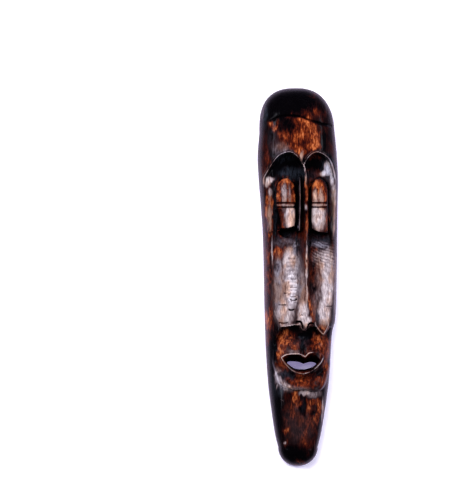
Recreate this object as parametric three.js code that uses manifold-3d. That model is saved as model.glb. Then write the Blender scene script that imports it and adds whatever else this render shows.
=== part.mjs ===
// A long, narrow wooden face mask, carved from one half-round billet and hollowed at the back.
// It lies on its flat back: X runs across the face, Y from the chin tip up to the crown, Z out of the face.
// The origin is under the middle of the mask, on the plane of its back. All sizes are in millimetres.
import * as THREE from "three";
import { mergeVertices } from "three/addons/utils/BufferGeometryUtils.js";
import Module from "manifold-3d";

const wasm = await Module();
wasm.setup();

// The billet
const LENGTH = 500; // chin tip to crown
const WIDTH = 105.2; // across the temples
const DEPTH = 46; // crest of the billet above its back, at the brows
const SECTION_POWER = 2.4; // 2 is a half ellipse, more is boxier
const CROWN_ROUNDING = 60; // length over which the crown closes
const CHIN_ROUNDING = 25; // length over which the chin tip closes

// The hollow behind the face
const RIM_WIDTH = 9.5; // flat rim that the mask lies on
const HOLLOW_DEPTH = 17; // behind the eyes, where it is shallowest
const HOLLOW_CROWN_END = 42; // solid wood left above the hollow
const HOLLOW_CHIN_END = 58; // solid wood left below the hollow

// The eye sockets and what is in them
const BROW_DROP = 18; // depth of the sockets under the brows
const SOCKET_WALL = 3; // width that a socket's steep edge takes in plan
const OUTER_DEPTH_SHARE = 0.3; // how much of a socket's depth is left at its outer edge
const DEEP_REACH = 6; // a socket keeps its full depth this far beside the nose
const OUTER_REACH = 40; // and is at its shallowest this far from it
const EYE_HEIGHT = 41; // crest of the closed eyes above the back
const EYE_CROWNING = 8; // how far an eye's sides lie below its crest
const EYE_TOP_SINK = 8; // how far the upper end of an eye sinks into its socket
const EYE_FOOT_SINK = 1.5; // and its lower end
const EYE_WALL = 1.4; // width that the side of an eye takes in plan
const MOAT_WIDTH = 3.4; // groove around each eye
const MOAT_DEPTH = 2;
const BAND_DEPTH = 1.3; // two fine grooves across each eye
const BAND_WIDTH = 2.4;
const BAND_PLACES = [97.4, 91.8]; // along the length
const SLOT_SLANT = 0.9; // the slots under the eyes run up behind them, per mm of depth
const SLOT_FRONT = 30; // height at which the slant starts
const BAG_HEIGHT = 2.2; // roll of wood under each slot
const BAG_WIDTH = 11;
const TEMPLE_BAR_HEIGHT = 3; // raised bar beside the left eye
const TEMPLE_BAR_WIDTH = 8;
const TEMPLE_BAR_WALL = 1.6;
const FIN_HEIGHT = 38; // thin fin of wood beside the nose
const FIN_WIDTH = 2.6;

// The nose
const NOSE_TIP_HEIGHT = 52;
const NOSE_UNDERCUT = 2.4; // width that the underside of the nose takes in plan
const WING_HEIGHT_SHARE = 0.72; // of the nose tip
const WING_PLACE = [8, -61]; // from the ridge to the middle of a wing, and its place along the length
const WING_SIZE = [5.6, 8]; // half its width and length
const NOSTRIL_DEPTH = 5;
const NOSTRIL_WIDTH = 2.8;

// The mouth and chin
const LIP_HEIGHT = 1.8; // raised edge around the mouth
const LIP_WIDTH = 3.4;
const FOLD_DEPTH = 3; // fold below the lower lip
const FOLD_DISTANCE = 9; // from the mouth
const PHILTRUM_DEPTH = 3;
const PHILTRUM_WIDTH = 13;
const CHIN_EDGE_HEIGHT = 3; // lip of wood along the chin's edge
const CHIN_EDGE_PLACE = 3; // its crest, inside the field's edge
const CHIN_EDGE_REACH = 8;
const FIELD_EDGE = 2.2; // width of the step around mouth and chin
const MOUTH_FRONT = 43; // between these heights the mouth narrows towards the back
const MOUTH_THROAT = 27;

// The drying crack across the forehead
const CRACK_DEPTH = 2.2;
const CRACK_WIDTH = 2.2;

// How finely the surface is faceted
const OUTLINE_STEP = 6;
const FEATURE_STEP = 4.4;
const RIDGE_STEP = 2.4; // along the nose
const FIELD_SPACING = 6.6;
const MOUTH_SPACING = 4.2;
const HOLLOW_ROWS = 34;
const HOLLOW_COLUMNS = 12;

const WOOD = { color: 0x3a1a0e, roughness: 0.35, metalness: 0 };

// The carving is laid out on a mask of this length, width and depth, and follows the billet's own size.
const DRAWN_LENGTH = 500;
const DRAWN_WIDTH = 105.2;
const DRAWN_DEPTH = 46;
const along = LENGTH / DRAWN_LENGTH;
const across = WIDTH / DRAWN_WIDTH;
const deep = DEPTH / DRAWN_DEPTH;
const CROWN_MIDDLE = -2.6; // the crown's tip lies a little left of the middle

const clamp01 = (t) => Math.min(1, Math.max(0, t));
const smooth = (t) => clamp01(t) ** 2 * (3 - 2 * clamp01(t));
const bell = (t) => smooth(1 - Math.abs(t));
const mix = (a, b, t) => a + (b - a) * t;

// A smooth curve through stations [place along the length, value], from the chin to the crown
function profile(stations) {
  const last = stations.length - 1;
  const slope = (i) => {
    const [a, b] = [stations[Math.max(0, i - 1)], stations[Math.min(last, i + 1)]];
    return (b[1] - a[1]) / (b[0] - a[0]);
  };
  return (y) => {
    if (y <= stations[0][0]) return stations[0][1];
    if (y >= stations[last][0]) return stations[last][1];
    const i = stations.findIndex((s) => s[0] > y) - 1;
    const span = stations[i + 1][0] - stations[i][0];
    const rise = (stations[i + 1][1] - stations[i][1]) / span;
    const t = (y - stations[i][0]) / span;
    const bow = t * (1 - t) * span * ((slope(i) - rise) * (1 - t) - (slope(i + 1) - rise) * t);
    return mix(stations[i][1], stations[i + 1][1], t) + bow;
  };
}

// The billet's two sides, drawn from the middle and then brought to half its width, and its crest line
const leftSide = profile([
  [-225, 25.3], [-205, 29.9], [-142, 38.5], [-72, 42.7], [49, 45.5], [89, 47.9], [136, 51.6], [160, 52.6],
  [190, 50.3],
]);
const rightSide = profile([
  [-225, 26.5], [-205, 31.2], [-142, 40.5], [-80, 44.6], [-70, 46], [-58, 49], [-20, 50.8], [89, 52.1],
  [136, 52.6], [190, 49],
]);
const DRAWN_ROWS = Array.from({ length: DRAWN_LENGTH + 1 }, (_, i) => i - DRAWN_LENGTH / 2);
const widest = (side) => Math.max(...DRAWN_ROWS.map(side));
const [leftScale, rightScale] = [leftSide, rightSide].map((side) => WIDTH / 2 / widest(side));
const crest = profile([
  [-225, 27], [-205, 30], [-150, 36.5], [-80, 42], [-55, 45.5], [0, 46.5], [160, 46], [190, 43],
]);
// The crest of the raised mouth and chin: a valley under the nose, then the lips, then the chin
const mouthCrest = profile([[-155, 40.5], [-122, 41], [-98, 42], [-88, 39.5], [-78, 33], [-68, 31]]);
const socketShare = profile([
  [-66, 0.14], [-40, 0.28], [0, 0.53], [36, 0.78], [44, 0.97], [60, 1.055], [120, 1.03], [163, 0.945],
]);
const socketDepth = (drawn) => BROW_DROP * socketShare(drawn);
const hollowShare = profile([
  [-190, 0.9], [-150, 1.25], [-112, 1.6], [-60, 1.5], [0, 1.25], [60, 0.95], [110, 1], [165, 1.6],
]);

// The nose: where its ridge runs, how far it reaches to each side, its crest and how much of it is flat
const noseRidge = profile([[-71, 7.8], [-30, 9.3], [12, 11.6], [60, 10.6], [152, 6.4]]);
const noseLeft = profile([
  [-66, 12.5], [-50, 12], [-13, 10.2], [19, 9.5], [40, 8.5], [56, 5], [66, 2.8], [152, 2.8],
]);
const noseRight = profile([[-66, 13], [-50, 11], [-29, 8.5], [0, 5.2], [40, 4.2], [60, 3], [152, 2.8]]);
const noseCrest = profile([[-71, NOSE_TIP_HEIGHT], [-50, 51], [0, 48.5], [60, 46.5], [152, 46]]);
const noseFlat = profile([[-68, 0.3], [-56, 0.14], [30, 0.14], [66, 0.5], [152, 0.6]]);
const NOSE_TOP = 146; // where it runs out between the brows
const NOSE_FOOT = -76; // below its tip
const NOSE_TOP_BLEND = 12;
const NOSE_ROWS_LOW = 60; // its facets follow level rows down to here

// An outline is a list of strokes, each a smooth curve through its points, with a corner where two meet.
const sockets = [
  {
    side: -1,
    strokes: [
      [[2, -61.5], [6, -40], [9, 0], [9.5, 60], [8.4, 132], [6.2, 147]],
      [[6.2, 147], [-1, 157.5], [-11.5, 163.4], [-27, 156.8], [-43.8, 131]],
      [[-43.8, 131], [-44, 118], [-38.8, 57], [-31.6, 3], [-29.7, -34], [-22.2, -64.7]],
      [[-22.2, -64.7], [2, -61.5]],
    ],
  },
  {
    side: 1,
    strokes: [
      [[39.8, -63.3], [43.2, -20], [46, 50], [48.6, 128]],
      [[48.6, 128], [41.5, 152.5], [26.7, 163.2], [15.5, 158.8], [8.2, 147]],
      [[8.2, 147], [11, 132], [12.6, 60], [12.5, 20], [13.5, -20], [22.5, -63.3]],
      [[22.5, -63.3], [26.7, -69], [32.4, -74.9], [35.8, -71.5], [39.8, -63.3]],
    ],
  },
];

// Each eye is a bar with a round top and a slanting foot, and the left one is cut in below its grooves.
const eyes = [
  { left: -29.4, right: -2.3, shoulder: 112, top: 130.6, footLeft: 63, footRight: 67, cutIn: 6.2 },
  { left: 16.2, right: 39.2, shoulder: 112, top: 130.2, footLeft: 63.4, footRight: 57.6, cutIn: 0 },
];
const EYE_CUT_PLACE = 90;

function eyeStrokes({ left, right, shoulder, top, footLeft, footRight, cutIn }) {
  const [middle, half] = [(left + right) / 2, (right - left) / 2];
  const arc = [];
  for (let i = 0; i <= 6; i++) {
    const angle = Math.PI * (i / 6);
    arc.push([middle - half * Math.cos(angle), shoulder + (top - shoulder) * Math.sin(angle)]);
  }
  const footSide = left + cutIn;
  const cut = cutIn > 0 ? [[[footSide, EYE_CUT_PLACE - 3], [left, EYE_CUT_PLACE + 2]]] : [];
  return [
    arc,
    [[right, shoulder], [right, footRight]],
    [[right, footRight], [(footSide + right) / 2, Math.min(footLeft, footRight) + 0.5], [footSide, footLeft]],
    [[footSide, footLeft], [footSide, EYE_CUT_PLACE - 3]],
    ...cut,
    [[left, EYE_CUT_PLACE + (cutIn > 0 ? 2 : -3)], [left, shoulder]],
  ];
}

// The slots under the eyes, the roll of wood below each, the bar at the left temple and the fin by the nose
const slots = [
  [
    [[-26.5, 60], [-22.8, 62.4], [-14, 62.8], [-2.5, 66.4]],
    [[-2.5, 66.4], [-2.4, 56.5], [-13.5, 51.4], [-22.5, 54.4], [-26.5, 60]],
  ],
  [
    [[17.6, 62.6], [27, 60], [38.6, 57]],
    [[38.6, 57], [36.5, 51], [26.5, 47.8], [18.6, 52.5], [17.6, 62.6]],
  ],
];
const bags = [[[-27, 50.5], [-14, 44.5], [1, 47]], [[19, 44], [28, 41.5], [40, 47.5]]];
const templeBar = [[-39.2, 115], [-38, 95], [-37, 62]];
const fin = [[2.2, 132], [2.6, 100], [1.8, 62]];

// The raised field of mouth and chin, closed above by the cheeks' ends and the nose
const mouthField = [
  [[-22.2, -64.7], [-31.7, -86.9], [-33, -112], [-25, -139]],
  [[-25, -139], [-17, -145.2], [-5, -147.6], [8, -147.4], [20, -149.5], [30, -148], [37, -138], [43, -118]],
  [[43, -118], [49, -95], [54, -68]],
  [[54, -68], [40.6, -63.6]],
  [[40.6, -63.6], [35.8, -71.5], [32.4, -74.9], [26.7, -69], [22.5, -63.3]],
  [[22.5, -63.3], [-5, -61.5]],
  [[-5, -61.5], [-11.5, -63.7], [-22.2, -64.7]],
];
const noseUnderside = [
  [-6, -60], [-4.4, -64.6], [1.4, -66.6], [7.8, -71.5], [13, -67.8], [19.6, -66], [23, -61],
];
const nostrils = [
  [[-1.6, -58], [2.6, -57.6], [5.2, -61.6], [6, -65.8]],
  [[11.8, -65.6], [13.4, -61.4], [16.8, -59.4], [20, -61]],
];
const mouthFront = [
  [[-20.8, -104.2], [-13.8, -99.6], [-4.5, -98.4], [3, -98.4], [7.8, -101.4]],
  [[7.8, -101.4], [11.6, -98.8], [15.9, -96.8], [28.6, -98.9], [31, -103.4]],
  [[31, -103.4], [29.4, -110.1], [17.1, -122], [9.5, -123.8]],
  [[9.5, -123.8], [-4.5, -121.5], [-16.3, -112.3], [-20.8, -104.2]],
];
const mouthBack = [
  [[-15.3, -108.9], [-9, -107.8], [3.5, -111.6]],
  [[3.5, -111.6], [10, -110.5], [22.7, -112.5]],
  [[22.7, -112.5], [17, -117], [2.8, -121.3]],
  [[2.8, -121.3], [-11.6, -115], [-15.3, -108.9]],
];
const philtrum = [[5, -80], [6.6, -92], [7.8, -103]];
const lipMounds = [
  { at: [-6, -92.5], size: [10, 5.5], height: 1.6 },
  { at: [22, -91.5], size: [5, 7.5], height: 2.2 },
];
const crack = [[-36, 205], [-20, 211.5], [0, 210.6], [24, 202.6], [44, 198.6]];

// Points along a closed outline, with a given step, or along one stroke
const pointAt = ([x, y]) => new THREE.Vector2(x * across, y * along);
const curveOf = (stroke) => new THREE.SplineCurve(stroke.map(pointAt));
const pointsOn = (stroke, count) => curveOf(stroke).getSpacedPoints(count);
function traceStroke(stroke, step) {
  return pointsOn(stroke, Math.max(1, Math.round(curveOf(stroke).getLength() / step)));
}
const trace = (strokes, step) => strokes.flatMap((stroke) => traceStroke(stroke, step).slice(0, -1));

// Distance from a point to a row of points joined by straight lines
function distanceTo(points, x, y, closed) {
  let best = Infinity;
  const count = closed ? points.length : points.length - 1;
  for (let i = 0; i < count; i++) {
    const a = points[i];
    const b = points[(i + 1) % points.length];
    const [dx, dy] = [b.x - a.x, b.y - a.y];
    const t = clamp01(((x - a.x) * dx + (y - a.y) * dy) / (dx * dx + dy * dy || 1));
    best = Math.min(best, Math.hypot(x - a.x - t * dx, y - a.y - t * dy));
  }
  return best;
}

// How far a point lies inside a closed outline, negative outside it
function insideBy(points, x, y) {
  let inside = false;
  for (let i = 0, j = points.length - 1; i < points.length; j = i++) {
    const [a, b] = [points[i], points[j]];
    if (a.y > y !== b.y > y && x < ((b.x - a.x) * (y - a.y)) / (b.y - a.y) + a.x) inside = !inside;
  }
  return distanceTo(points, x, y, true) * (inside ? 1 : -1);
}

const LINE_STEP = 2;
const socketLines = sockets.map(({ strokes }) => trace(strokes, LINE_STEP));
const eyeLines = eyes.map((eye) => trace(eyeStrokes(eye), LINE_STEP));
const moatLines = eyes.map((eye) => trace(eyeStrokes({ ...eye, cutIn: 0 }), LINE_STEP));
const fieldLine = trace(mouthField, LINE_STEP);
const mouthLine = trace(mouthFront, LINE_STEP);
const [crackLine, philtrumLine, finLine, templeLine, undersideLine] = [
  crack, philtrum, fin, templeBar, noseUnderside,
].map((stroke) => traceStroke(stroke, LINE_STEP));
const nostrilLines = nostrils.map((stroke) => traceStroke(stroke, LINE_STEP));
const bagLines = bags.map((stroke) => traceStroke(stroke, LINE_STEP));

// The sides of the billet at a place along its length, closed by a round crown and chin
function sides(y) {
  const crownShare = clamp01((y - (LENGTH / 2 - CROWN_ROUNDING)) / CROWN_ROUNDING);
  const chinShare = clamp01((-LENGTH / 2 + CHIN_ROUNDING - y) / CHIN_ROUNDING);
  const closing = (1 - crownShare ** 2.5) ** 0.4 * Math.sqrt(1 - chinShare ** 2);
  const middle = CROWN_MIDDLE * across * smooth(crownShare);
  return {
    left: leftSide(y / along) * leftScale * closing - middle,
    right: rightSide(y / along) * rightScale * closing + middle,
    closing,
  };
}

// Height of the half-round billet, for a given crest
function dome(x, y, crestHeight) {
  const { left, right, closing } = sides(y);
  const share = clamp01(x < 0 ? -x / Math.max(left, 0.01) : x / Math.max(right, 0.01));
  return crestHeight * deep * closing * (1 - share ** SECTION_POWER) ** (1 / SECTION_POWER);
}

const EYE_LEVEL = 96; // the middle part of the eyes, at its full height
const EYE_POWER = 2.2; // roundness of an eye's section

// A closed eye: a rounded bar with two fine grooves across it, its upper end sunk into the socket
function eyeHeight({ left, right }, x, y) {
  const drawn = y / along;
  const share = clamp01(Math.abs(x / across - (left + right) / 2) / ((right - left) / 2 + 1));
  const [above, below] = [smooth((drawn - EYE_LEVEL) / 36), smooth((EYE_LEVEL - 12 - drawn) / 24)];
  const height = EYE_HEIGHT - EYE_TOP_SINK * above - EYE_FOOT_SINK * below;
  const bands = BAND_PLACES.reduce((sum, place) => sum + bell((drawn - place) / (BAND_WIDTH / 2)), 0);
  const roundness = (1 - share ** EYE_POWER) ** (1 / EYE_POWER);
  return (height - EYE_CROWNING * (1 - roundness)) * deep - BAND_DEPTH * bands;
}

// The sockets run down the cheeks, deep beside the nose and shallow at their outer edge.
function withSocket(i, x, y, z) {
  const inside = insideBy(socketLines[i], x, y);
  if (inside < 0) return z;
  const drawn = y / along;
  const reach = Math.abs(x / across - noseRidge(drawn));
  const outward = clamp01((reach - DEEP_REACH) / (OUTER_REACH - DEEP_REACH));
  const depth = socketDepth(drawn) * mix(1, OUTER_DEPTH_SHARE, outward ** 1.4);
  let height = z - depth * deep * smooth(inside / SOCKET_WALL);
  height += BAG_HEIGHT * bell(distanceTo(bagLines[i], x, y, false) / (BAG_WIDTH / 2));
  if (i === 0) {
    const inBar = TEMPLE_BAR_WIDTH / 2 - distanceTo(templeLine, x, y, false);
    height += TEMPLE_BAR_HEIGHT * smooth(inBar / TEMPLE_BAR_WALL);
    height = mix(height, FIN_HEIGHT * deep, smooth(2 - distanceTo(finLine, x, y, false) / (FIN_WIDTH / 2)));
  }
  height -= MOAT_DEPTH * smooth(1 + insideBy(moatLines[i], x, y) / MOAT_WIDTH);
  const eye = insideBy(eyeLines[i], x, y);
  return eye > 0 ? mix(height, Math.max(height, eyeHeight(eyes[i], x, y)), smooth(eye / EYE_WALL)) : height;
}

const LIP_LEVEL = -100; // where the upper lip meets the mouth

// The raised field around the mouth: a philtrum, two mounds of the upper lip, a raised edge and a fold below
function withMouth(x, y, z, inside) {
  if (inside < 0) return z;
  const away = -insideBy(mouthLine, x, y);
  const below = smooth((LIP_LEVEL - y / along) / 16);
  let height = z + LIP_HEIGHT * smooth(1 - Math.max(away, 0) / LIP_WIDTH);
  height -= FOLD_DEPTH * mix(0.35, 1, below) * bell((away - FOLD_DISTANCE) / (FOLD_DISTANCE - LIP_WIDTH));
  height += CHIN_EDGE_HEIGHT * below * bell((inside - CHIN_EDGE_PLACE) / CHIN_EDGE_REACH);
  height -= PHILTRUM_DEPTH * bell(distanceTo(philtrumLine, x, y, false) / (PHILTRUM_WIDTH / 2)) * (1 - below);
  for (const mound of lipMounds) {
    const [dx, dy] = [(x / across - mound.at[0]) / mound.size[0], (y / along - mound.at[1]) / mound.size[1]];
    height += mound.height * smooth(1.2 - Math.hypot(dx, dy));
  }
  return height;
}

// How far a point lies below the underside of the nose
function belowNose(x, y) {
  const i = undersideLine.findIndex((p) => p.x > x);
  if (i < 1) return -NOSE_UNDERCUT;
  const [a, b] = [undersideLine[i - 1], undersideLine[i]];
  return mix(a.y, b.y, (x - a.x) / (b.x - a.x || 1)) - y;
}

// The nose: a thin ridge between the eyes that widens to two wings and a pointed tip
function withNose(x, y, floor) {
  const drawn = y / along;
  const ridge = noseRidge(drawn);
  const half = (x / across < ridge ? noseLeft : noseRight)(drawn);
  const offset = x / across - ridge;
  const share = Math.abs(offset) / half;
  if (share >= 1 || drawn > NOSE_TOP + NOSE_TOP_BLEND || drawn < NOSE_FOOT) return floor;
  const flank = 1 - clamp01((share - noseFlat(drawn)) / (1 - noseFlat(drawn)));
  const fromWing = [Math.abs(offset) - WING_PLACE[0], drawn - WING_PLACE[1]];
  const wing = Math.hypot(fromWing[0] / WING_SIZE[0], fromWing[1] / WING_SIZE[1]);
  const lobe = WING_HEIGHT_SHARE * Math.sqrt(clamp01(1 - wing ** 2));
  const top = mix(floor, noseCrest(drawn) * deep, Math.max(flank, lobe));
  const below = belowNose(x, y);
  let z = mix(top, floor, smooth((below + NOSE_UNDERCUT) / NOSE_UNDERCUT));
  for (const line of nostrilLines) {
    z -= NOSTRIL_DEPTH * bell(distanceTo(line, x, y, false) / (NOSTRIL_WIDTH / 2));
  }
  return mix(z, Math.max(z, floor), smooth((drawn - NOSE_TOP) / NOSE_TOP_BLEND));
}

// Height of the carved face over a point of the plan
function faceHeight(x, y) {
  const drawn = y / along;
  const inField = insideBy(fieldLine, x, y);
  let z = mix(dome(x, y, crest(drawn)), dome(x, y, mouthCrest(drawn)), smooth(inField / FIELD_EDGE));
  z = withMouth(x, y, z, inField);
  z = withSocket(0, x, y, z);
  z = withSocket(1, x, y, z);
  z = withNose(x, y, z);
  z -= CRACK_DEPTH * bell(distanceTo(crackLine, x, y, false) / (CRACK_WIDTH / 2));
  return Math.max(z, 0);
}

// The plan's outline, from the chin tip up the right side and down the left
function planOutline() {
  const rows = Math.round(LENGTH / OUTLINE_STEP);
  const [right, left] = [[], []];
  for (let i = 1; i < rows; i++) {
    const even = LENGTH * (i / rows - 0.5);
    const closer = (-LENGTH / 2) * Math.cos((Math.PI * i) / rows); // closer rows at the two ends
    const y = (even + closer) / 2;
    right.push(new THREE.Vector2(sides(y).right, y));
    left.push(new THREE.Vector2(-sides(y).left, y));
  }
  const chin = new THREE.Vector2(0, -LENGTH / 2);
  const crown = new THREE.Vector2(CROWN_MIDDLE * across, LENGTH / 2);
  return [chin, ...right, crown, ...left.reverse()];
}

// A closed outline moved to its left side by a distance
function inset(points, distance) {
  return points.map((p, i) => {
    const before = points[(i + points.length - 1) % points.length];
    const after = points[(i + 1) % points.length];
    const direction = after.clone().sub(before).normalize();
    return new THREE.Vector2(p.x - direction.y * distance, p.y + direction.x * distance);
  });
}

// Rows of points to both sides of an open row
const besides = (points, distance) => [-distance, 0, distance].flatMap((d) => inset(points, d).slice(1, -1));

// Delaunay triangulation of points in the plan, adding them one at a time
function triangulate(points) {
  const reach = LENGTH * 20;
  const frame = [[-reach, -reach], [reach, -reach], [0, reach]].map(([x, y]) => new THREE.Vector2(x, y));
  const all = [...points, ...frame];
  const withCircle = (a, b, c) => {
    const [p, q, r] = [all[a], all[b], all[c]];
    const d = 2 * (p.x * (q.y - r.y) + q.x * (r.y - p.y) + r.x * (p.y - q.y));
    const [pp, qq, rr] = [p.lengthSq(), q.lengthSq(), r.lengthSq()];
    const x = (pp * (q.y - r.y) + qq * (r.y - p.y) + rr * (p.y - q.y)) / d;
    const y = (pp * (r.x - q.x) + qq * (p.x - r.x) + rr * (q.x - p.x)) / d;
    return { corners: [a, b, c], x, y, radius2: (p.x - x) ** 2 + (p.y - y) ** 2 };
  };
  const n = points.length;
  const edgeKey = (a, b) => a * (n + 3) + b;
  let triangles = [withCircle(n, n + 1, n + 2)];
  for (let i = 0; i < n; i++) {
    const edges = new Map();
    const kept = [];
    for (const t of triangles) {
      if ((all[i].x - t.x) ** 2 + (all[i].y - t.y) ** 2 >= t.radius2) {
        kept.push(t);
        continue;
      }
      for (let k = 0; k < 3; k++) {
        const [a, b] = [t.corners[k], t.corners[(k + 1) % 3]];
        if (!edges.delete(edgeKey(b, a))) edges.set(edgeKey(a, b), [a, b]);
      }
    }
    for (const [a, b] of edges.values()) kept.push(withCircle(a, b, i));
    triangles = kept;
  }
  return triangles.map((t) => t.corners).filter((corners) => corners.every((c) => c < n));
}

function solid(positions, triangles) {
  const geometry = new THREE.BufferGeometry();
  geometry.setAttribute("position", new THREE.Float32BufferAttribute(positions.flat(), 3));
  geometry.setIndex(triangles.flat());
  const merged = mergeVertices(geometry, 1e-4);
  const mesh = new wasm.Mesh({
    numProp: 3,
    vertProperties: new Float32Array(merged.attributes.position.array),
    triVerts: new Uint32Array(merged.index.array),
  });
  return new wasm.Manifold(mesh);
}

// Level rows of points across the nose, with one at each edge of the ridge and, between the eyes, of the fin
function noseRows() {
  const finAt = profile(fin.slice().reverse().map(([x, y]) => [y, x]));
  const [finLow, finHigh] = [fin.at(-1)[1], fin[0][1]];
  const rows = Math.round((NOSE_TOP + NOSE_ROWS_LOW) / RIDGE_STEP);
  const points = [];
  for (let i = 0; i <= rows; i++) {
    const drawn = mix(-NOSE_ROWS_LOW, NOSE_TOP, i / rows);
    const [ridge, flat, left, right] = [noseRidge, noseFlat, noseLeft, noseRight].map((at) => at(drawn));
    const places = [-left, -flat * left, flat * right, right].map((reach) => (ridge + reach) * across);
    if (drawn > finLow && drawn < finHigh) {
      const fins = [-FIN_WIDTH, -FIN_WIDTH / 2, FIN_WIDTH / 2, FIN_WIDTH];
      places.push(...fins.map((reach) => finAt(drawn) * across + reach));
    }
    if (drawn > eyes[0].footRight && drawn < eyes[0].shoulder) {
      places.push(eyes[0].right * across - EYE_WALL, eyes[0].right * across);
      places.push(eyes[1].left * across, eyes[1].left * across + EYE_WALL);
    }
    points.push(...places.map((x) => new THREE.Vector2(x, drawn * along)));
  }
  return points;
}

// The points that carry the carved surface: rows along every edge, then a loose field between them
function surfacePoints(outline) {
  const points = [];
  const add = (candidates, clearance) => {
    for (const p of candidates) {
      if (insideBy(outline, p.x, p.y) < 0.5) continue;
      if (points.every((q) => (p.x - q.x) ** 2 + (p.y - q.y) ** 2 > clearance ** 2)) points.push(p);
    }
  };
  const addEdge = (strokes, distances, step, clearance = 0.6) => {
    const line = trace(strokes, step);
    const turn = Math.sign(THREE.ShapeUtils.area(line));
    for (const distance of distances) add(inset(line, turn * distance), clearance);
  };
  for (const distance of [0.7, 2.6]) add(inset(outline, distance), 0.5);
  add(noseRows(), 0.3);
  for (const reach of [TEMPLE_BAR_WIDTH / 2, TEMPLE_BAR_WIDTH / 2 - TEMPLE_BAR_WALL]) {
    add(besides(traceStroke(templeBar, FEATURE_STEP), reach), 1.2);
  }
  for (const { strokes } of sockets) addEdge(strokes, [0, SOCKET_WALL], FEATURE_STEP, 1.6);
  for (const eye of eyes) {
    addEdge(eyeStrokes(eye), [0, EYE_WALL, 5], FEATURE_STEP * 0.8, 1.3);
    addEdge(eyeStrokes({ ...eye, cutIn: 0 }), [0, -MOAT_WIDTH], FEATURE_STEP * 0.8, 1.7);
  }
  for (const { left, right } of eyes) {
    for (const place of BAND_PLACES) {
      add(besides(traceStroke([[left, place], [right, place]], FEATURE_STEP), BAND_WIDTH / 2), 0.9);
    }
  }
  addEdge(mouthFront, [0, -LIP_WIDTH, -FOLD_DISTANCE], FEATURE_STEP * 0.7);
  for (const stroke of nostrils) {
    add(besides(traceStroke(stroke, FEATURE_STEP * 0.5), NOSTRIL_WIDTH / 2), 0.8);
  }
  add(undersideLine, 0.8);
  add(undersideLine.map((p) => new THREE.Vector2(p.x, p.y + NOSE_UNDERCUT)), 0.8);
  addEdge(mouthField, [0, FIELD_EDGE, 6], FEATURE_STEP, 1);
  add(besides(crackLine, CRACK_WIDTH / 2), 0.9);
  for (const distance of [6, 11, 18]) add(inset(outline, distance), 3);
  const addField = (spacing, low, high) => {
    for (let row = 0, y = low; y < high; y += spacing * 0.8, row++) {
      for (let x = -WIDTH / 2; x < WIDTH / 2; x += spacing) {
        add([new THREE.Vector2(x + (row % 2) * (spacing / 2), y)], spacing * 0.45);
      }
    }
  };
  addField(MOUTH_SPACING, -150 * along, -64 * along);
  addField(FIELD_SPACING, -LENGTH / 2, LENGTH / 2);
  return points;
}

// The carved billet, solid to its flat back
function carvedBillet() {
  const outline = planOutline();
  const points = [...outline, ...surfacePoints(outline)];
  const facing = ([a, b, c]) => {
    const area = THREE.ShapeUtils.area([points[a], points[b], points[c]]);
    return area > 0 ? [a, b, c] : [a, c, b];
  };
  const front = triangulate(points).filter((corners) => {
    const centre = corners.reduce((sum, k) => sum.add(points[k]), new THREE.Vector2()).divideScalar(3);
    return insideBy(outline, centre.x, centre.y) > 0;
  });
  const back = THREE.ShapeUtils.triangulateShape(outline, []);
  const positions = points.map((p, i) => [p.x, p.y, i < outline.length ? 0 : faceHeight(p.x, p.y)]);
  return solid(positions, [...front.map(facing), ...back.map((corners) => facing(corners).reverse())]);
}

// A solid through rings of equal length, each a list of [x, y, z], closed by a fan at both ends
function loft(rings) {
  const count = rings[0].length;
  const positions = rings.flat();
  const triangles = [];
  for (let r = 0; r < rings.length - 1; r++) {
    for (let i = 0; i < count; i++) {
      const j = (i + 1) % count;
      const [a, b, c, d] = [r * count + i, r * count + j, (r + 1) * count + j, (r + 1) * count + i];
      triangles.push([a, b, c], [a, c, d]);
    }
  }
  const fan = (ring, start, first) => {
    positions.push([0, 1, 2].map((k) => ring.reduce((sum, p) => sum + p[k], 0) / count));
    const hub = positions.length - 1;
    for (let i = 0; i < count; i++) {
      const [a, b] = [start + i, start + ((i + 1) % count)];
      triangles.push(first ? [hub, b, a] : [hub, a, b]);
    }
  };
  fan(rings[0], 0, true);
  fan(rings.at(-1), (rings.length - 1) * count, false);
  const made = solid(positions, triangles);
  return made.volume() < 0 ? solid(positions, triangles.map(([a, b, c]) => [a, c, b])) : made;
}

const BELOW = -5; // the cuts reach a little below the back

// The scoop behind the face, open at the back
function hollow() {
  const [low, high] = [-LENGTH / 2 + HOLLOW_CHIN_END, LENGTH / 2 - HOLLOW_CROWN_END];
  const rings = [];
  for (let i = 0; i <= HOLLOW_ROWS; i++) {
    const y = mix(low, high, (1 - Math.cos((Math.PI * i) / HOLLOW_ROWS)) / 2);
    const end = Math.max(0.05, (1 - Math.abs((2 * (y - low)) / (high - low) - 1) ** 4) ** 0.4);
    const roof = HOLLOW_DEPTH * hollowShare(y / along) * end;
    const [left, right] = [(sides(y).left - RIM_WIDTH) * end, (sides(y).right - RIM_WIDTH) * end];
    const ring = [[-left, y, BELOW], [right, y, BELOW]];
    for (let k = 0; k <= HOLLOW_COLUMNS; k++) {
      const angle = Math.PI * (k / HOLLOW_COLUMNS);
      const side = k < HOLLOW_COLUMNS / 2 ? right : left;
      ring.push([Math.cos(angle) * side, y, roof * Math.sin(angle) ** 0.8]);
    }
    rings.push(ring);
  }
  return loft(rings);
}

// An outline as a level ring, with the same number of points in every stroke
const STROKE_PIECES = 8;
const ringAt = (strokes, z, shift = 0) =>
  strokes.flatMap((stroke) => pointsOn(stroke, STROKE_PIECES).slice(0, -1)).map((p) => [p.x, p.y + shift, z]);

// The mouth narrows from the lips to its throat and then runs straight into the hollow.
function mouthOpening() {
  return loft([
    ringAt(mouthBack, BELOW),
    ringAt(mouthBack, MOUTH_THROAT * deep),
    ringAt(mouthFront, MOUTH_FRONT * deep),
    ringAt(mouthFront, DEPTH * 1.5),
  ]);
}

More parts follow.
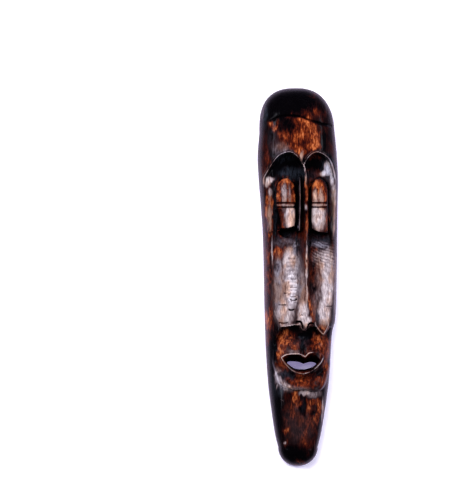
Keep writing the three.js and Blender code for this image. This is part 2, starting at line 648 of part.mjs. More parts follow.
// A slot under each eye, slanting up behind it into the hollow
function eyeSlot(strokes) {
  const front = SLOT_FRONT * deep;
  return loft([
    ringAt(strokes, BELOW, (front - BELOW) * SLOT_SLANT),
    ringAt(strokes, front),
    ringAt(strokes, DEPTH * 1.5),
  ]);
}

function meshOf(name, made, finish) {
  const { vertProperties, triVerts } = made.getMesh();
  const geometry = new THREE.BufferGeometry();
  geometry.setAttribute("position", new THREE.BufferAttribute(vertProperties, 3));
  geometry.setIndex(new THREE.BufferAttribute(triVerts, 1));
  geometry.computeVertexNormals();
  const mesh = new THREE.Mesh(geometry, new THREE.MeshStandardMaterial(finish));
  mesh.name = name;
  return mesh;
}

function mask() {
  let made = carvedBillet().subtract(hollow()).subtract(mouthOpening());
  for (const strokes of slots) made = made.subtract(eyeSlot(strokes));
  return meshOf("mask", made, WOOD);
}

const group = new THREE.Group();
group.add(mask());

export default group;
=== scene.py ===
# %% [markdown]
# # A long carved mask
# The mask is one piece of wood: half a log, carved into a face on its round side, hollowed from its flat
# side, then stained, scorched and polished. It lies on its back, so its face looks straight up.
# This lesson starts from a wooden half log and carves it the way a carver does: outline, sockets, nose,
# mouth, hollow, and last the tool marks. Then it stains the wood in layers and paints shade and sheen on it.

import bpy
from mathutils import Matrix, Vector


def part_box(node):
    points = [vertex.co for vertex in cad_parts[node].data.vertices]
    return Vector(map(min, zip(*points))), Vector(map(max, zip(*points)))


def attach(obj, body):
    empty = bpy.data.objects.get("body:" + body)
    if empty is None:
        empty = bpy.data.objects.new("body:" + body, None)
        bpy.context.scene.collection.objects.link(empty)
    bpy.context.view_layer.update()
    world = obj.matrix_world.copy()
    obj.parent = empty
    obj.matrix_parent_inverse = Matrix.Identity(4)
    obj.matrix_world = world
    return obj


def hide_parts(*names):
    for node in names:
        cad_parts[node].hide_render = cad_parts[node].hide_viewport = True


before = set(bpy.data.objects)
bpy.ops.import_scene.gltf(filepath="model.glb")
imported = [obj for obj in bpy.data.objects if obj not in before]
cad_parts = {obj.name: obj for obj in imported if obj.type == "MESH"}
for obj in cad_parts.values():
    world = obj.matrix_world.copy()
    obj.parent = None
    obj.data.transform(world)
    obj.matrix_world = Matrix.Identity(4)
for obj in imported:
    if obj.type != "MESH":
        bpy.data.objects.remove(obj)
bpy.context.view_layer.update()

import math

import bmesh
import bpy
import numpy as np
from mathutils import Vector

MM = 0.001
low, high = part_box("mask")
LENGTH = (high[1] - low[1]) / MM
print(f"the mask is {LENGTH:.0f} mm long and {(high[0] - low[0]) / MM:.0f} mm wide")

# %% [markdown]
# ## The camera and the room
# The photograph looks straight at the face, so the camera looks straight down on the lying mask. A long
# lens keeps the sides parallel, as in the photograph. The camera stands a little left of the mask's middle
# and towards the crown, because the picture's middle lies there.

# %% Camera
PICTURE_HEIGHT = 482  # pixels
MASK_PIXELS = 378  # the mask's length in the picture
MASK_MIDDLE = (60.25, 36.0)  # pixels from the picture's middle to the mask's, to the right and down
LENS = 200  # millimetres, on a sensor 36 mm high
SENSOR = 36
pixel = LENGTH * MM / MASK_PIXELS

camera_data = bpy.data.cameras.new("camera")
camera_data.sensor_fit = "VERTICAL"
camera_data.sensor_height = SENSOR
camera_data.lens = LENS
camera_data.clip_end = 50
camera = bpy.data.objects.new("camera", camera_data)
camera.location = (-MASK_MIDDLE[0] * pixel, MASK_MIDDLE[1] * pixel, PICTURE_HEIGHT * pixel * LENS / SENSOR)
bpy.context.collection.objects.link(camera)
bpy.context.scene.camera = camera
print(f"the camera hangs {camera.location.z:.2f} m above the floor")

# %% [markdown]
# ## Floor and light
# The backdrop is white, so the floor is a large pale sheet. The wood is black and glossy, so what it mirrors
# matters more than how much light falls on it. A bright sky would turn its black parts grey. So large soft
# lights light it without showing in its gloss. The gloss mirrors a dark sky above, two dim strips beside the
# mask, and a violet glow from below, which draws the thin pale lines along its steep edges. The floor itself
# glows a little, so that it still shows through the mouth. A white dome stands behind everything.

# %% Floor
FLOOR_COLOUR = (0.93, 0.93, 0.95, 1)
FLOOR_GLOW = (0.23, 0.20, 0.37, 1)
FLOOR_SIZE, FLOOR_DROP = 6, 0.0005  # metres; the drop keeps the floor clear of the mask's flat back
DOME_RADIUS = 7


def glowing_material(name, colour, glow):
    material = bpy.data.materials.new(name)
    material.use_nodes = True
    shader = material.node_tree.nodes["Principled BSDF"]
    shader.inputs["Base Color"].default_value = colour
    shader.inputs["Roughness"].default_value = 0.9
    shader.inputs["Emission Color"].default_value = glow
    shader.inputs["Emission Strength"].default_value = 1
    return material


def as_object(mesh, name):
    data = bpy.data.meshes.new(name)
    mesh.to_mesh(data)
    mesh.free()
    made = bpy.data.objects.new(name, data)
    bpy.context.collection.objects.link(made)
    return made


floor_mesh = bmesh.new()
bmesh.ops.create_grid(floor_mesh, x_segments=1, y_segments=1, size=FLOOR_SIZE)
floor = as_object(floor_mesh, "floor")
floor.location.z = -FLOOR_DROP
floor.visible_glossy = False
floor.data.materials.append(glowing_material("pale floor", FLOOR_COLOUR, FLOOR_GLOW))
dome_mesh = bmesh.new()
bmesh.ops.create_uvsphere(dome_mesh, u_segments=32, v_segments=16, radius=DOME_RADIUS)
backdrop = as_object(dome_mesh, "dome")
backdrop.data.materials.append(glowing_material("white dome", (0, 0, 0, 1), (1, 1, 1, 1)))
backdrop.visible_diffuse = backdrop.visible_glossy = backdrop.visible_shadow = False
print("floor laid and dome set up")

# %% Light
LIGHTS = [
    # name, place, size across and along, watts, colour, whether it shows in the gloss
    ("key light", (-1.1, 0.9, 1.7), (1.2, 1.2), 66, (1, 0.98, 0.96), False),
    ("right light", (1.6, 0.3, 1.2), (1.2, 1.2), 36, (0.97, 0.96, 1), False),
    ("crown light", (0.1, 1.8, 1.0), (1.0, 0.6), 32, (1, 0.98, 0.96), False),
    ("left strip", (-1.2, 0.1, 0.8), (1.4, 0.15), 2.4, (0.86, 0.86, 1), True),
    ("right strip", (1.2, 0.1, 0.7), (1.4, 0.15), 1.6, (0.86, 0.86, 1), True),
]
SKY = [
    # height, from 0 straight down to 1 straight up, and colour
    (0.0, (0.84, 0.68, 1.0)),
    (0.15, (0.84, 0.68, 1.0)),
    (0.33, (0.05, 0.045, 0.07)),
    (0.5, (0.02, 0.02, 0.03)),
    (1.0, (0.02, 0.02, 0.025)),
]


def node(tree, kind, **inputs):
    made = tree.nodes.new(kind)
    for name, value in inputs.items():
        made.inputs[name].default_value = value
    return made


def value_node(tree, name):
    made = tree.nodes.new("ShaderNodeAttribute")
    made.attribute_name = name
    return made.outputs["Fac"]


def math_node(tree, operation, a, b, limit=False):
    made = tree.nodes.new("ShaderNodeMath")
    made.operation = operation
    made.use_clamp = limit
    for socket, value in zip(made.inputs, (a, b)):
        if isinstance(value, (int, float)):
            socket.default_value = value
        else:
            tree.links.new(value, socket)
    return made.outputs[0]


def ramp_node(tree, value, stops):
    """A colour that follows a value through several stops."""
    made = tree.nodes.new("ShaderNodeValToRGB")
    for place, _ in stops[1:-1]:
        made.color_ramp.elements.new(place)
    for element, (place, colour) in zip(made.color_ramp.elements, stops):
        element.position = place
        element.color = (*colour, 1)
    tree.links.new(value, made.inputs["Fac"])
    return made.outputs["Color"]


def soft_light(name, place, size, watts, colour, in_gloss):
    data = bpy.data.lights.new(name, "AREA")
    data.shape = "RECTANGLE"
    data.size, data.size_y = size
    data.energy = watts
    data.color = colour
    light = bpy.data.objects.new(name, data)
    light.location = place
    light.visible_glossy = in_gloss
    light.rotation_euler = (-Vector(place)).to_track_quat("-Z", "Y").to_euler()
    bpy.context.collection.objects.link(light)


for settings in LIGHTS:
    soft_light(*settings)
world = bpy.data.worlds.new("sky")
world.use_nodes = True
sky_tree = world.node_tree
direction = sky_tree.nodes.new("ShaderNodeTexCoord")
parts = sky_tree.nodes.new("ShaderNodeSeparateXYZ")
sky_tree.links.new(direction.outputs["Generated"], parts.inputs[0])
upward = math_node(sky_tree, "MULTIPLY", parts.outputs["Z"], 0.5)
upward = math_node(sky_tree, "ADD", upward, 0.5)
sky_tree.links.new(ramp_node(sky_tree, upward, SKY), sky_tree.nodes["Background"].inputs["Color"])
bpy.context.scene.world = world
bpy.context.scene.view_settings.view_transform = "Standard"
print(f"{len(LIGHTS)} soft lights and a dim sky")

# %% [markdown]
# ## Tools for carving
# A carver thinks in depths: so much wood off here, a step there. The same works in Blender when every point
# of the round side gets its height from a few simple rules. The rules need four tools: a smooth step, a
# smooth line through a few stations, a drawn stroke turned into short straight pieces, and the distance
# from every point to such a stroke. They work on all points at once, which keeps the script quick.

# %% Steps and lines
DRAWN_LENGTH = 500.0  # millimetres: the carving is laid out on a mask of this length


def clamp(t):
    return np.clip(t, 0, 1)


def smooth(t):
    t = clamp(t)
    return t * t * (3 - 2 * t)


def bell(t):
    return smooth(1 - np.abs(t))


def mix(a, b, t):
    return a + (b - a) * t


def profile(*stations):
    """A smooth line through stations, each a place along the length and a value."""
    place, value = np.array(stations, float).T
    before = np.maximum(np.arange(len(place)) - 1, 0)
    after = np.minimum(np.arange(len(place)) + 1, len(place) - 1)
    slope = (value[after] - value[before]) / (place[after] - place[before])

    def at(y):
        i = np.clip(np.searchsorted(place, y, side="right") - 1, 0, len(place) - 2)
        span = place[i + 1] - place[i]
        rise = (value[i + 1] - value[i]) / span
        t = clamp((y - place[i]) / span)
        bow = t * (1 - t) * span * ((slope[i] - rise) * (1 - t) - (slope[i + 1] - rise) * t)
        return mix(value[i], value[i + 1], t) + bow

    return at


print("a smooth line from 0 to 2 passes", float(profile((0, 0), (1, 1), (2, 2))(0.5)), "at 0.5")

# %% Strokes and distances
PIECES = 12  # straight pieces between two points of a stroke
FAR = 1e3
REACH = 14  # how far from a line its distance is still worked out


def trace(stroke):
    """A smooth curve through a stroke's points, as many short straight pieces."""
    points = np.array(stroke, float)
    if len(points) == 2:
        return points
    ends = np.vstack([points[:1], points, points[-1:]])
    t = np.linspace(0, 1, PIECES, endpoint=False)[:, None]
    traced = []
    for a, b, c, d in zip(ends, ends[1:], ends[2:], ends[3:]):
        pull, push = (c - a) / 2, (d - b) / 2
        bend = 2 * b - 2 * c + pull + push
        lean = 3 * c - 3 * b - 2 * pull - push
        traced.append(bend * t**3 + lean * t**2 + pull * t + b)
    return np.vstack(traced + [points[-1:]])


def outline(*strokes):
    """A closed outline made of strokes that meet at corners."""
    return np.vstack([trace(stroke)[:-1] for stroke in strokes])


def distance(line, x, y, reach=REACH, closed=False):
    """How far every point lies from a line, and FAR past the reach."""
    best = np.full(x.shape, FAR)
    (x0, y0), (x1, y1) = line.min(0) - reach, line.max(0) + reach
    near = (x > x0) & (x < x1) & (y > y0) & (y < y1)
    px, py, found = x[near], y[near], best[near]
    following = np.roll(line, -1, axis=0) if closed else line[1:]
    for (ax, ay), (bx, by) in zip(line, following):
        dx, dy = bx - ax, by - ay
        t = clamp(((px - ax) * dx + (py - ay) * dy) / (dx * dx + dy * dy or 1))
        found = np.minimum(found, np.hypot(px - ax - t * dx, py - ay - t * dy))
    best[near] = found
    return best


def within(line, x, y, reach=REACH):
    """How far every point lies inside a closed outline, negative outside it."""
    inside = np.zeros(x.shape, bool)
    for (ax, ay), (bx, by) in zip(line, np.roll(line, -1, axis=0)):
        if ay != by:
            inside ^= ((ay > y) != (by > y)) & (x < (bx - ax) * (y - ay) / (by - ay) + ax)
    return distance(line, x, y, reach, closed=True) * np.where(inside, 1, -1)


print("a stroke of 4 points gives", len(trace([(0, 0), (1, 1), (2, 0), (3, 1)])), "points")

# %% [markdown]
# Wood is never even. A soft random height, drawn out along the grain, breaks up every surface a little, and
# the same helper later breaks up the stain. It mixes random values of a loose net of points, and the net
# always starts from the same number, so the mask looks the same each time.

# %% Uneven wood
NET_SIZE = (97, 89)
NET_START = 1000.5  # far enough out that no place on the mask falls below zero


def uneven(x, y, across, along, seed):
    """A smooth random value from -1 to 1, with lumps of a given size."""
    net = np.random.default_rng(seed).uniform(-1, 1, NET_SIZE)
    u, v = x / across + NET_START, y / along + NET_START
    i, j = np.floor(u).astype(int), np.floor(v).astype(int)
    s, t = smooth(u - i), smooth(v - j)

    def corner(di, dj):
        return net[(i + di) % NET_SIZE[0], (j + dj) % NET_SIZE[1]]

    return mix(mix(corner(0, 0), corner(1, 0), s), mix(corner(0, 1), corner(1, 1), s), t)


tried = uneven(np.array([3.0]), np.array([5.0]), 4, 20, 1)
print(f"uneven wood, tried at one place: {tried[0]:.3f}")

# %% [markdown]
# ## The half log
# Seen from the front the mask is widest at the temples and narrows to a rounded chin. Its section is half of
# a log, a little boxier than a half ellipse. A flat grid could be pulled up into that form, but its points
# would be far apart on the steep sides, so the grid is first spread with more columns near the sides and
# more rows where the carving is fine.

# %% Outline and section
left_side = profile(
    (-225, 25.3), (-205, 29.9), (-142, 38.5), (-72, 42.7), (49, 45.5), (89, 47.9), (136, 51.6), (160, 52.6),
    (190, 50.3),
)
right_side = profile(
    (-225, 26.5), (-205, 31.2), (-142, 40.5), (-80, 44.6), (-70, 46), (-58, 49), (-20, 50.8), (89, 52.1),
    (136, 52.6), (190, 49),
)
crest = profile(
    (-225, 27), (-205, 30), (-150, 36.5), (-80, 42), (-55, 45.5), (0, 46.5), (160, 46), (190, 43),
)
CROWN_ROUNDING, CHIN_ROUNDING = 60, 25
CROWN_MIDDLE = -2.6
SECTION_POWER = 2.4
HALF_LENGTH = DRAWN_LENGTH / 2


def sides(y):
    """How far the log reaches to the left and to the right, and how far it has closed."""
    crown = clamp((y - HALF_LENGTH + CROWN_ROUNDING) / CROWN_ROUNDING)
    chin = clamp((CHIN_ROUNDING - HALF_LENGTH - y) / CHIN_ROUNDING)
    closing = (1 - crown**2.5) ** 0.4 * np.sqrt(1 - chin**2)
    middle = CROWN_MIDDLE * smooth(crown)
    return left_side(y) * closing - middle, right_side(y) * closing + middle, closing


def dome(x, y, crest_height):
    left, right, closing = sides(y)
    share = clamp(np.where(x < 0, -x / np.maximum(left, 0.01), x / np.maximum(right, 0.01)))
    return crest_height * closing * (1 - share**SECTION_POWER) ** (1 / SECTION_POWER)


tried = sides(np.array([90.0]))
print(f"at the eyes the log reaches {tried[0][0]:.1f} mm to the left and {tried[1][0]:.1f} mm to the right")

# %% [markdown]
# ## Where the carving goes
# These strokes are the lines that a carver draws on the log with chalk before cutting: the two sockets with
# their arched brows, the bars of the closed eyes, the slots and rolls under them, the field of mouth and
# chin, the lips, and the underside of the nose. All places are in millimetres from the mask's middle.

# %% Sockets and eyes
socket_lines = [
    outline(
        [(2, -61.5), (6, -40), (9, 0), (9.5, 60), (8.4, 132), (6.2, 147)],
        [(6.2, 147), (-1, 157.5), (-11.5, 163.4), (-27, 156.8), (-43.8, 131)],
        [(-43.8, 131), (-44, 118), (-38.8, 57), (-31.6, 3), (-29.7, -34), (-22.2, -64.7)],
        [(-22.2, -64.7), (2, -61.5)],
    ),
    outline(
        [(39.8, -63.3), (43.2, -20), (46, 50), (48.6, 128)],
        [(48.6, 128), (41.5, 152.5), (26.7, 163.2), (15.5, 158.8), (8.2, 147)],
        [(8.2, 147), (11, 132), (12.6, 60), (12.5, 20), (13.5, -20), (22.5, -63.3)],
        [(22.5, -63.3), (26.7, -69), (32.4, -74.9), (35.8, -71.5), (39.8, -63.3)],
    ),
]
socket_share = profile(
    (-66, 0.14), (-40, 0.28), (0, 0.53), (36, 0.78), (44, 0.97), (60, 1.055), (120, 1.03), (163, 0.945),
)
BROW_DROP = 18
SOCKET_WALL = 3

EYES = [
    {"left": -29.4, "right": -2.3, "shoulder": 112, "top": 130.6, "foot": (63, 67), "cut_in": 6.2},
    {"left": 16.2, "right": 39.2, "shoulder": 112, "top": 130.2, "foot": (63.4, 57.6), "cut_in": 0},
]
CUT_FOOT, CUT_TOP = 87, 92  # where the bar's one side is cut in
FOOT_SAG = 0.5
ARC_POINTS = 7


def eye_outline(eye, cut_in):
    """A bar with a round top and a slanting foot, cut in below its middle on one side."""
    left, right, shoulder = eye["left"], eye["right"], eye["shoulder"]
    middle, half, rise = (left + right) / 2, (right - left) / 2, eye["top"] - shoulder
    angles = np.linspace(0, math.pi, ARC_POINTS)
    arc = np.column_stack([middle - half * np.cos(angles), shoulder + rise * np.sin(angles)])
    foot_side = left + cut_in
    foot_left, foot_right = eye["foot"]
    foot_middle = ((foot_side + right) / 2, min(foot_left, foot_right) + FOOT_SAG)
    strokes = [
        arc,
        [(right, shoulder), (right, foot_right)],
        [(right, foot_right), foot_middle, (foot_side, foot_left)],
        [(foot_side, foot_left), (foot_side, CUT_FOOT)],
    ]
    if cut_in:
        strokes.append([(foot_side, CUT_FOOT), (left, CUT_TOP)])
    strokes.append([(left, CUT_TOP if cut_in else CUT_FOOT), (left, shoulder)])
    return outline(*strokes)


eye_lines = [eye_outline(eye, eye["cut_in"]) for eye in EYES]
moat_lines = [eye_outline(eye, 0) for eye in EYES]
roll_lines = [trace([(-27, 50.5), (-14, 44.5), (1, 47)]), trace([(19, 44), (28, 41.5), (40, 47.5)])]
temple_line = trace([(-39.2, 115), (-38, 95), (-37, 62)])
fin_line = trace([(2.2, 132), (2.6, 100), (1.8, 62)])
SLOTS = [
    [
        [(-26.5, 60), (-22.8, 62.4), (-14, 62.8), (-2.5, 66.4)],
        [(-2.5, 66.4), (-2.4, 56.5), (-13.5, 51.4), (-22.5, 54.4), (-26.5, 60)],
    ],
    [
        [(17.6, 62.6), (27, 60), (38.6, 57)],
        [(38.6, 57), (36.5, 51), (26.5, 47.8), (18.6, 52.5), (17.6, 62.6)],
    ],
]
print(len(socket_lines), "sockets,", len(eye_lines), "closed eyes and", len(SLOTS), "slots drawn")

# %% Nose, mouth and chin
NOSE_TIP = 52
NOSE_TOP, NOSE_FOOT = 146, -76
nose_ridge = profile((-71, 7.8), (-30, 9.3), (12, 11.6), (60, 10.6), (152, 6.4))
nose_left = profile(
    (-66, 12.5), (-50, 12), (-13, 10.2), (19, 9.5), (40, 8.5), (56, 5), (66, 2.8), (152, 2.8),
)
nose_right = profile((-66, 13), (-50, 11), (-29, 8.5), (0, 5.2), (40, 4.2), (60, 3), (152, 2.8))
nose_crest = profile((-71, NOSE_TIP), (-50, 51), (0, 48.5), (60, 46.5), (152, 46))
nose_flat = profile((-68, 0.3), (-56, 0.14), (30, 0.14), (66, 0.5), (152, 0.6))
underside = trace([(-6, -60), (-4.4, -64.6), (1.4, -66.6), (7.8, -71.5), (13, -67.8), (19.6, -66), (23, -61)])
nostril_lines = [
    trace([(-1.6, -58), (2.6, -57.6), (5.2, -61.6), (6, -65.8)]),
    trace([(11.8, -65.6), (13.4, -61.4), (16.8, -59.4), (20, -61)]),
]
field_line = outline(
    [(-22.2, -64.7), (-31.7, -86.9), (-33, -112), (-25, -139)],
    [(-25, -139), (-17, -145.2), (-5, -147.6), (8, -147.4), (20, -149.5), (30, -148), (37, -138), (43, -118)],
    [(43, -118), (49, -95), (54, -68)],
    [(54, -68), (40.6, -63.6)],
    [(40.6, -63.6), (35.8, -71.5), (32.4, -74.9), (26.7, -69), (22.5, -63.3)],
    [(22.5, -63.3), (-5, -61.5)],
    [(-5, -61.5), (-11.5, -63.7), (-22.2, -64.7)],
)
MOUTH_FRONT = [
    [(-20.8, -105), (-14.5, -101.6), (-4.5, -100.6), (3, -101.2), (9.6, -104.8)],
    [(9.6, -104.8), (13.5, -100.4), (17.5, -98.8), (26.5, -99.4), (32, -104)],
    [(32, -104), (28.8, -111.4), (18.5, -121), (7.3, -125.4)],
    [(7.3, -125.4), (-4.5, -122.4), (-15, -113.4), (-20.8, -105)],
]
MOUTH_BACK = [
    [(-14.8, -112.2), (-10.4, -110.4), (0, -111), (7.3, -113.6)],
    [(7.3, -113.6), (14.6, -111.4), (20.6, -111.7), (24.3, -114)],
    [(24.3, -114), (19, -118), (9, -121)],
    [(9, -121), (-4, -119.8), (-14.8, -112.2)],
]
mouth_line = outline(*MOUTH_FRONT)
mouth_crest = profile((-155, 40.5), (-122, 41), (-98, 42), (-88, 39.5), (-78, 33), (-68, 31))
philtrum_line = trace([(5, -80), (6.6, -92), (7.8, -103)])
crack_line = trace([(-36, 205), (-20, 211.5), (0, 210.6), (24, 202.6), (44, 198.6)])
print("nose, mouth, chin and the crack in the forehead drawn")

# %% [markdown]
# ## Cutting to depth
# Each rule below takes the height so far and cuts or raises one feature. The sockets run down the cheeks,
# deep beside the nose and shallow at their outer edge, and everything in them starts from their floor.

# %% Sockets and eyes, to depth
EYE_HEIGHT, EYE_CROWNING, EYE_POWER, EYE_LEVEL = 41, 8, 2.2, 96
EYE_TOP_DROP, EYE_FOOT_DROP = 8, 1.5
BANDS = (97.4, 91.8)  # two fine grooves across each eye
BAND_DEPTH = 1.5
SHALLOWEST = 0.3  # the outer edge's share of a socket's depth
ROLL_RISE, TEMPLE_RISE, FIN_HEIGHT, MOAT_DEPTH = 2.2, 3, 38, 2


def eye_height(eye, x, y):
    half = (eye["right"] - eye["left"]) / 2 + 1
    share = clamp(np.abs(x - (eye["left"] + eye["right"]) / 2) / half)
    height = EYE_HEIGHT - EYE_TOP_DROP * smooth((y - EYE_LEVEL) / 36)
    height -= EYE_FOOT_DROP * smooth((EYE_LEVEL - 12 - y) / 24)
    round_top = 1 - (1 - share**EYE_POWER) ** (1 / EYE_POWER)
    bands = sum(bell((y - place) / 1.2) for place in BANDS)
    return height - EYE_CROWNING * round_top - BAND_DEPTH * bands


def with_socket(side, x, y, z):
    inside = within(socket_lines[side], x, y)
    outward = clamp((np.abs(x - nose_ridge(y)) - 6) / 34)
    depth = BROW_DROP * socket_share(y) * mix(1, SHALLOWEST, outward**1.4)
    height = z - depth * smooth(inside / SOCKET_WALL)
    height += ROLL_RISE * bell(distance(roll_lines[side], x, y) / 5.5)
    if side == 0:
        height += TEMPLE_RISE * smooth((4 - distance(temple_line, x, y)) / 1.6)
        height = mix(height, FIN_HEIGHT, smooth(2 - distance(fin_line, x, y) / 1.3))
    height -= MOAT_DEPTH * smooth(1 + within(moat_lines[side], x, y) / 3.4)
    eye = within(eye_lines[side], x, y)
    raised = mix(height, np.maximum(height, eye_height(EYES[side], x, y)), smooth(eye / 1.4))
    return np.where(inside > 0, np.where(eye > 0, raised, height), z)


print(f"the eyes stand up to {EYE_HEIGHT} mm high, and the brows drop {BROW_DROP} mm into the sockets")

# %% Mouth, chin and nose, to depth
LIP_LEVEL = -100
LIP_RISE, LIP_GROOVE, CHIN_RISE, PHILTRUM_DEPTH = 1.8, 3, 3, 3
LIP_MOUNDS = [((-6, -92.5), (10, 5.5), 1.6), ((22, -91.5), (5, 7.5), 2.2)]  # middle, half sizes, rise
WING_SHARE, NOSTRIL_DEPTH, TIP_WALL = 0.72, 5, 2.4
NOSE_FADE = 12


def with_mouth(x, y, z, inside):
    away = -within(mouth_line, x, y, reach=30)
    below = smooth((LIP_LEVEL - y) / 16)
    height = z + LIP_RISE * smooth(1 - np.maximum(away, 0) / 3.4)
    height -= LIP_GROOVE * mix(0.35, 1, below) * bell((away - 9) / 5.6)
    height += CHIN_RISE * below * bell((inside - 3) / 8)
    height -= PHILTRUM_DEPTH * bell(distance(philtrum_line, x, y) / 6.5) * (1 - below)
    for (cx, cy), (rx, ry), rise in LIP_MOUNDS:
        height += rise * smooth(1.2 - np.hypot((x - cx) / rx, (y - cy) / ry))
    return np.where(inside > 0, height, z)


def with_nose(x, y, floor_height):
    offset = x - nose_ridge(y)
    share = np.abs(offset) / np.where(offset < 0, nose_left(y), nose_right(y))
    flank = 1 - clamp((share - nose_flat(y)) / (1 - nose_flat(y)))
    wing = np.hypot((np.abs(offset) - 8) / 5.6, (y + 61) / 8)
    wing_rise = WING_SHARE * np.sqrt(clamp(1 - wing**2))
    top = mix(floor_height, nose_crest(y), np.maximum(flank, wing_rise))
    edge = np.interp(x, underside[:, 0], underside[:, 1], left=-FAR, right=-FAR)
    z = mix(top, floor_height, smooth((edge - y + TIP_WALL) / TIP_WALL))
    for line in nostril_lines:
        z = z - NOSTRIL_DEPTH * bell(distance(line, x, y) / 1.4)
    z = mix(z, np.maximum(z, floor_height), smooth((y - NOSE_TOP) / NOSE_FADE))
    return np.where((share < 1) & (y < NOSE_TOP + NOSE_FADE) & (y > NOSE_FOOT), z, floor_height)


def face_height(x, y):
    """Height of the carved face, before its fine marks."""
    in_field = within(field_line, x, y)
    z = mix(dome(x, y, crest(y)), dome(x, y, mouth_crest(y)), smooth(in_field / 2.2))
    z = with_mouth(x, y, z, in_field)
    for side in (0, 1):
        z = with_socket(side, x, y, z)
    z = with_nose(x, y, z)
    return np.maximum(z, 0)


tried = face_height(np.array([8.0]), np.array([-60.0]))
print(f"the nose stands {tried[0]:.1f} mm high near its tip")

# %% [markdown]
# ## Fine marks
# The big forms are done, and now come the marks of the tools. Each brow has a thin raised rim with a cut
# line beside it. The gouge left ripples and a few deep nicks in the left cheek and slanting lines in the
# right one. The lips have a second thin edge. The forehead dried out and cracked. And the whole outside is
# faceted very softly, since the log was hewn, not turned.

# %% Nicks and ripples
NICKS = [
    # middle, half width, sag, depth, half its breadth
    ((-6, -2.5), 3.2, 0.4, 0.8, 0.9),
    ((-6, -13.5), 4.2, 0.5, 0.8, 0.8),
    ((-16, -20.9), 2, 0.4, 0.5, 0.8),
    ((-6.5, -25.4), 3.6, 0.9, 0.6, 1),
    ((-6, -30.4), 4, 1.4, 1.6, 1.5),
    ((-20.5, -36.3), 4.4, 0.3, 1, 1.1),
    ((-8.8, -43), 3, 0.8, 2.6, 1.6),
    ((-19, -60), 5, 0.8, 0.8, 1.4),
    ((4.6, -48.4), 1.2, -1.2, 1, 1),
    ((40, -38), 3.4, 0.2, 0.7, 0.8),
]
RIPPLE_SPACING, RIPPLE_HEIGHT = 5.2, 0.45
GOUGE_SPACING, GOUGE_HEIGHT = 4, 0.5
RIM_ABOVE, RIM_FADE = 112, 20  # only this high up do the sockets have brows
RIM_HEIGHT, MOUTH_CUT, OUTER_RIM_HEIGHT = 0.6, 0.5, 0.4
FACET_HEIGHT, STREAK_HEIGHT, GRAIN_HEIGHT, CRACK_DEPTH = 0.35, 0.12, 0.06, 2.4
NICK_LINES = [
    trace([(cx - half, cy + sag), (cx, cy), (cx + half, cy + sag)]) for (cx, cy), half, sag, _, _ in NICKS
]


def cheek_waves(x, y):
    """Gouge ripples: nearly level in the left cheek, slanting in the right one."""
    sagging = y + 0.03 * (x + 8) ** 2 + 0.6 * uneven(x, y, 6, 9, 7)
    rippled = smooth((x + 16) / 3) * smooth((2 - x) / 3) * smooth((30 - y) / 6) * smooth((y + 38) / 6)
    slanting = y + 0.45 * x - 0.006 * (x - 30) ** 2 + 0.9 * uneven(x, y, 6, 5, 8)
    gouged = smooth((x - 15) / 4) * smooth((49 - x) / 2) * smooth((54 - y) / 4) * smooth((y - 4) / 20)
    turn = 2 * math.pi
    ripples = 0.6 * rippled * np.sin(sagging * turn / RIPPLE_SPACING)
    return ripples, gouged * np.sin(slanting * turn / GOUGE_SPACING)


def with_cheek_marks(x, y, z):
    for line, (_, _, _, depth, breadth) in zip(NICK_LINES, NICKS):
        z = z - depth * bell(distance(line, x, y) / breadth)
    rippled, gouged = cheek_waves(x, y)
    return z + RIPPLE_HEIGHT * rippled + GOUGE_HEIGHT * gouged


def with_rims(x, y, z):
    """The thin double edge of the brows and of the mouth."""
    brow = smooth((y - RIM_ABOVE) / RIM_FADE)
    for line in socket_lines:
        outside = -within(line, x, y)
        z = z + brow * (RIM_HEIGHT * bell((outside - 0.6) / 0.8) - RIM_HEIGHT * bell((outside - 1.8) / 0.9))
        z = z + brow * OUTER_RIM_HEIGHT * bell((outside - 3) / 0.9)
    away = -within(mouth_line, x, y)
    return z + RIM_HEIGHT * bell((away - 0.8) / 0.9) - MOUTH_CUT * bell((away - 2.4) / 0.9)


def from_crack(x, y):
    """How far every point lies from the crack, which runs a little crooked."""
    return distance(crack_line, x, y + 0.5 * uneven(x, y, 9, 60, 6))


def with_wood(x, y, z):
    """Hewn facets, grain and the crack."""
    inner = smooth(z / 12)
    z = z + inner * (FACET_HEIGHT * uneven(x, y, 9, 26, 3) + STREAK_HEIGHT * uneven(x, y, 2.2, 30, 4))
    z = z + inner * GRAIN_HEIGHT * uneven(x, y, 1.1, 14, 5)
    return z - CRACK_DEPTH * bell(from_crack(x, y) / 1.7)


def carved(x, y):
    z = with_cheek_marks(x, y, face_height(x, y))
    z = with_rims(x, y, z)
    return np.maximum(with_wood(x, y, z), 0)


print(len(NICKS), "nicks, and ripples in both cheeks")

# %% [markdown]
# ## Making the solid
# A grid of points is the quickest start. Its columns are pulled to the two sides of the log and its rows
# along it, then every point is lifted to the carved height. The outer row already lies on the flat back, so
# one large face closes the log underneath.

# %% The carved log
COLUMNS, ROWS = 150, 540


def rows_spread(share):
    """Where the rows lie: close together on the face, and at both rounded ends."""
    places = np.linspace(-HALF_LENGTH, HALF_LENGTH, 2001)
    wanted = 1 + 0.55 * smooth((places + 158) / 10) * smooth((172 - places) / 10)
    wanted += 1.2 * smooth((np.abs(places) - 238) / 12)
    total = np.cumsum(wanted)
    return np.interp(share, (total - total[0]) / (total[-1] - total[0]), places)


def columns_spread(share):
    """Where the columns lie between the two sides, from -1 to 1, closer near the sides."""
    turn = share * math.pi / 2
    return mix(share, np.sin(turn), 0.62)


def grid_points(mesh):
    """The points of a grid as two lists of shares, from -1 to 1."""
    places = np.array([vertex.co[:2] for vertex in mesh.verts])
    return places[:, 0], places[:, 1]


def move_points(mesh, x, y, z):
    for vertex, place in zip(mesh.verts, np.column_stack([x, y, z]) * MM):
        vertex.co = place


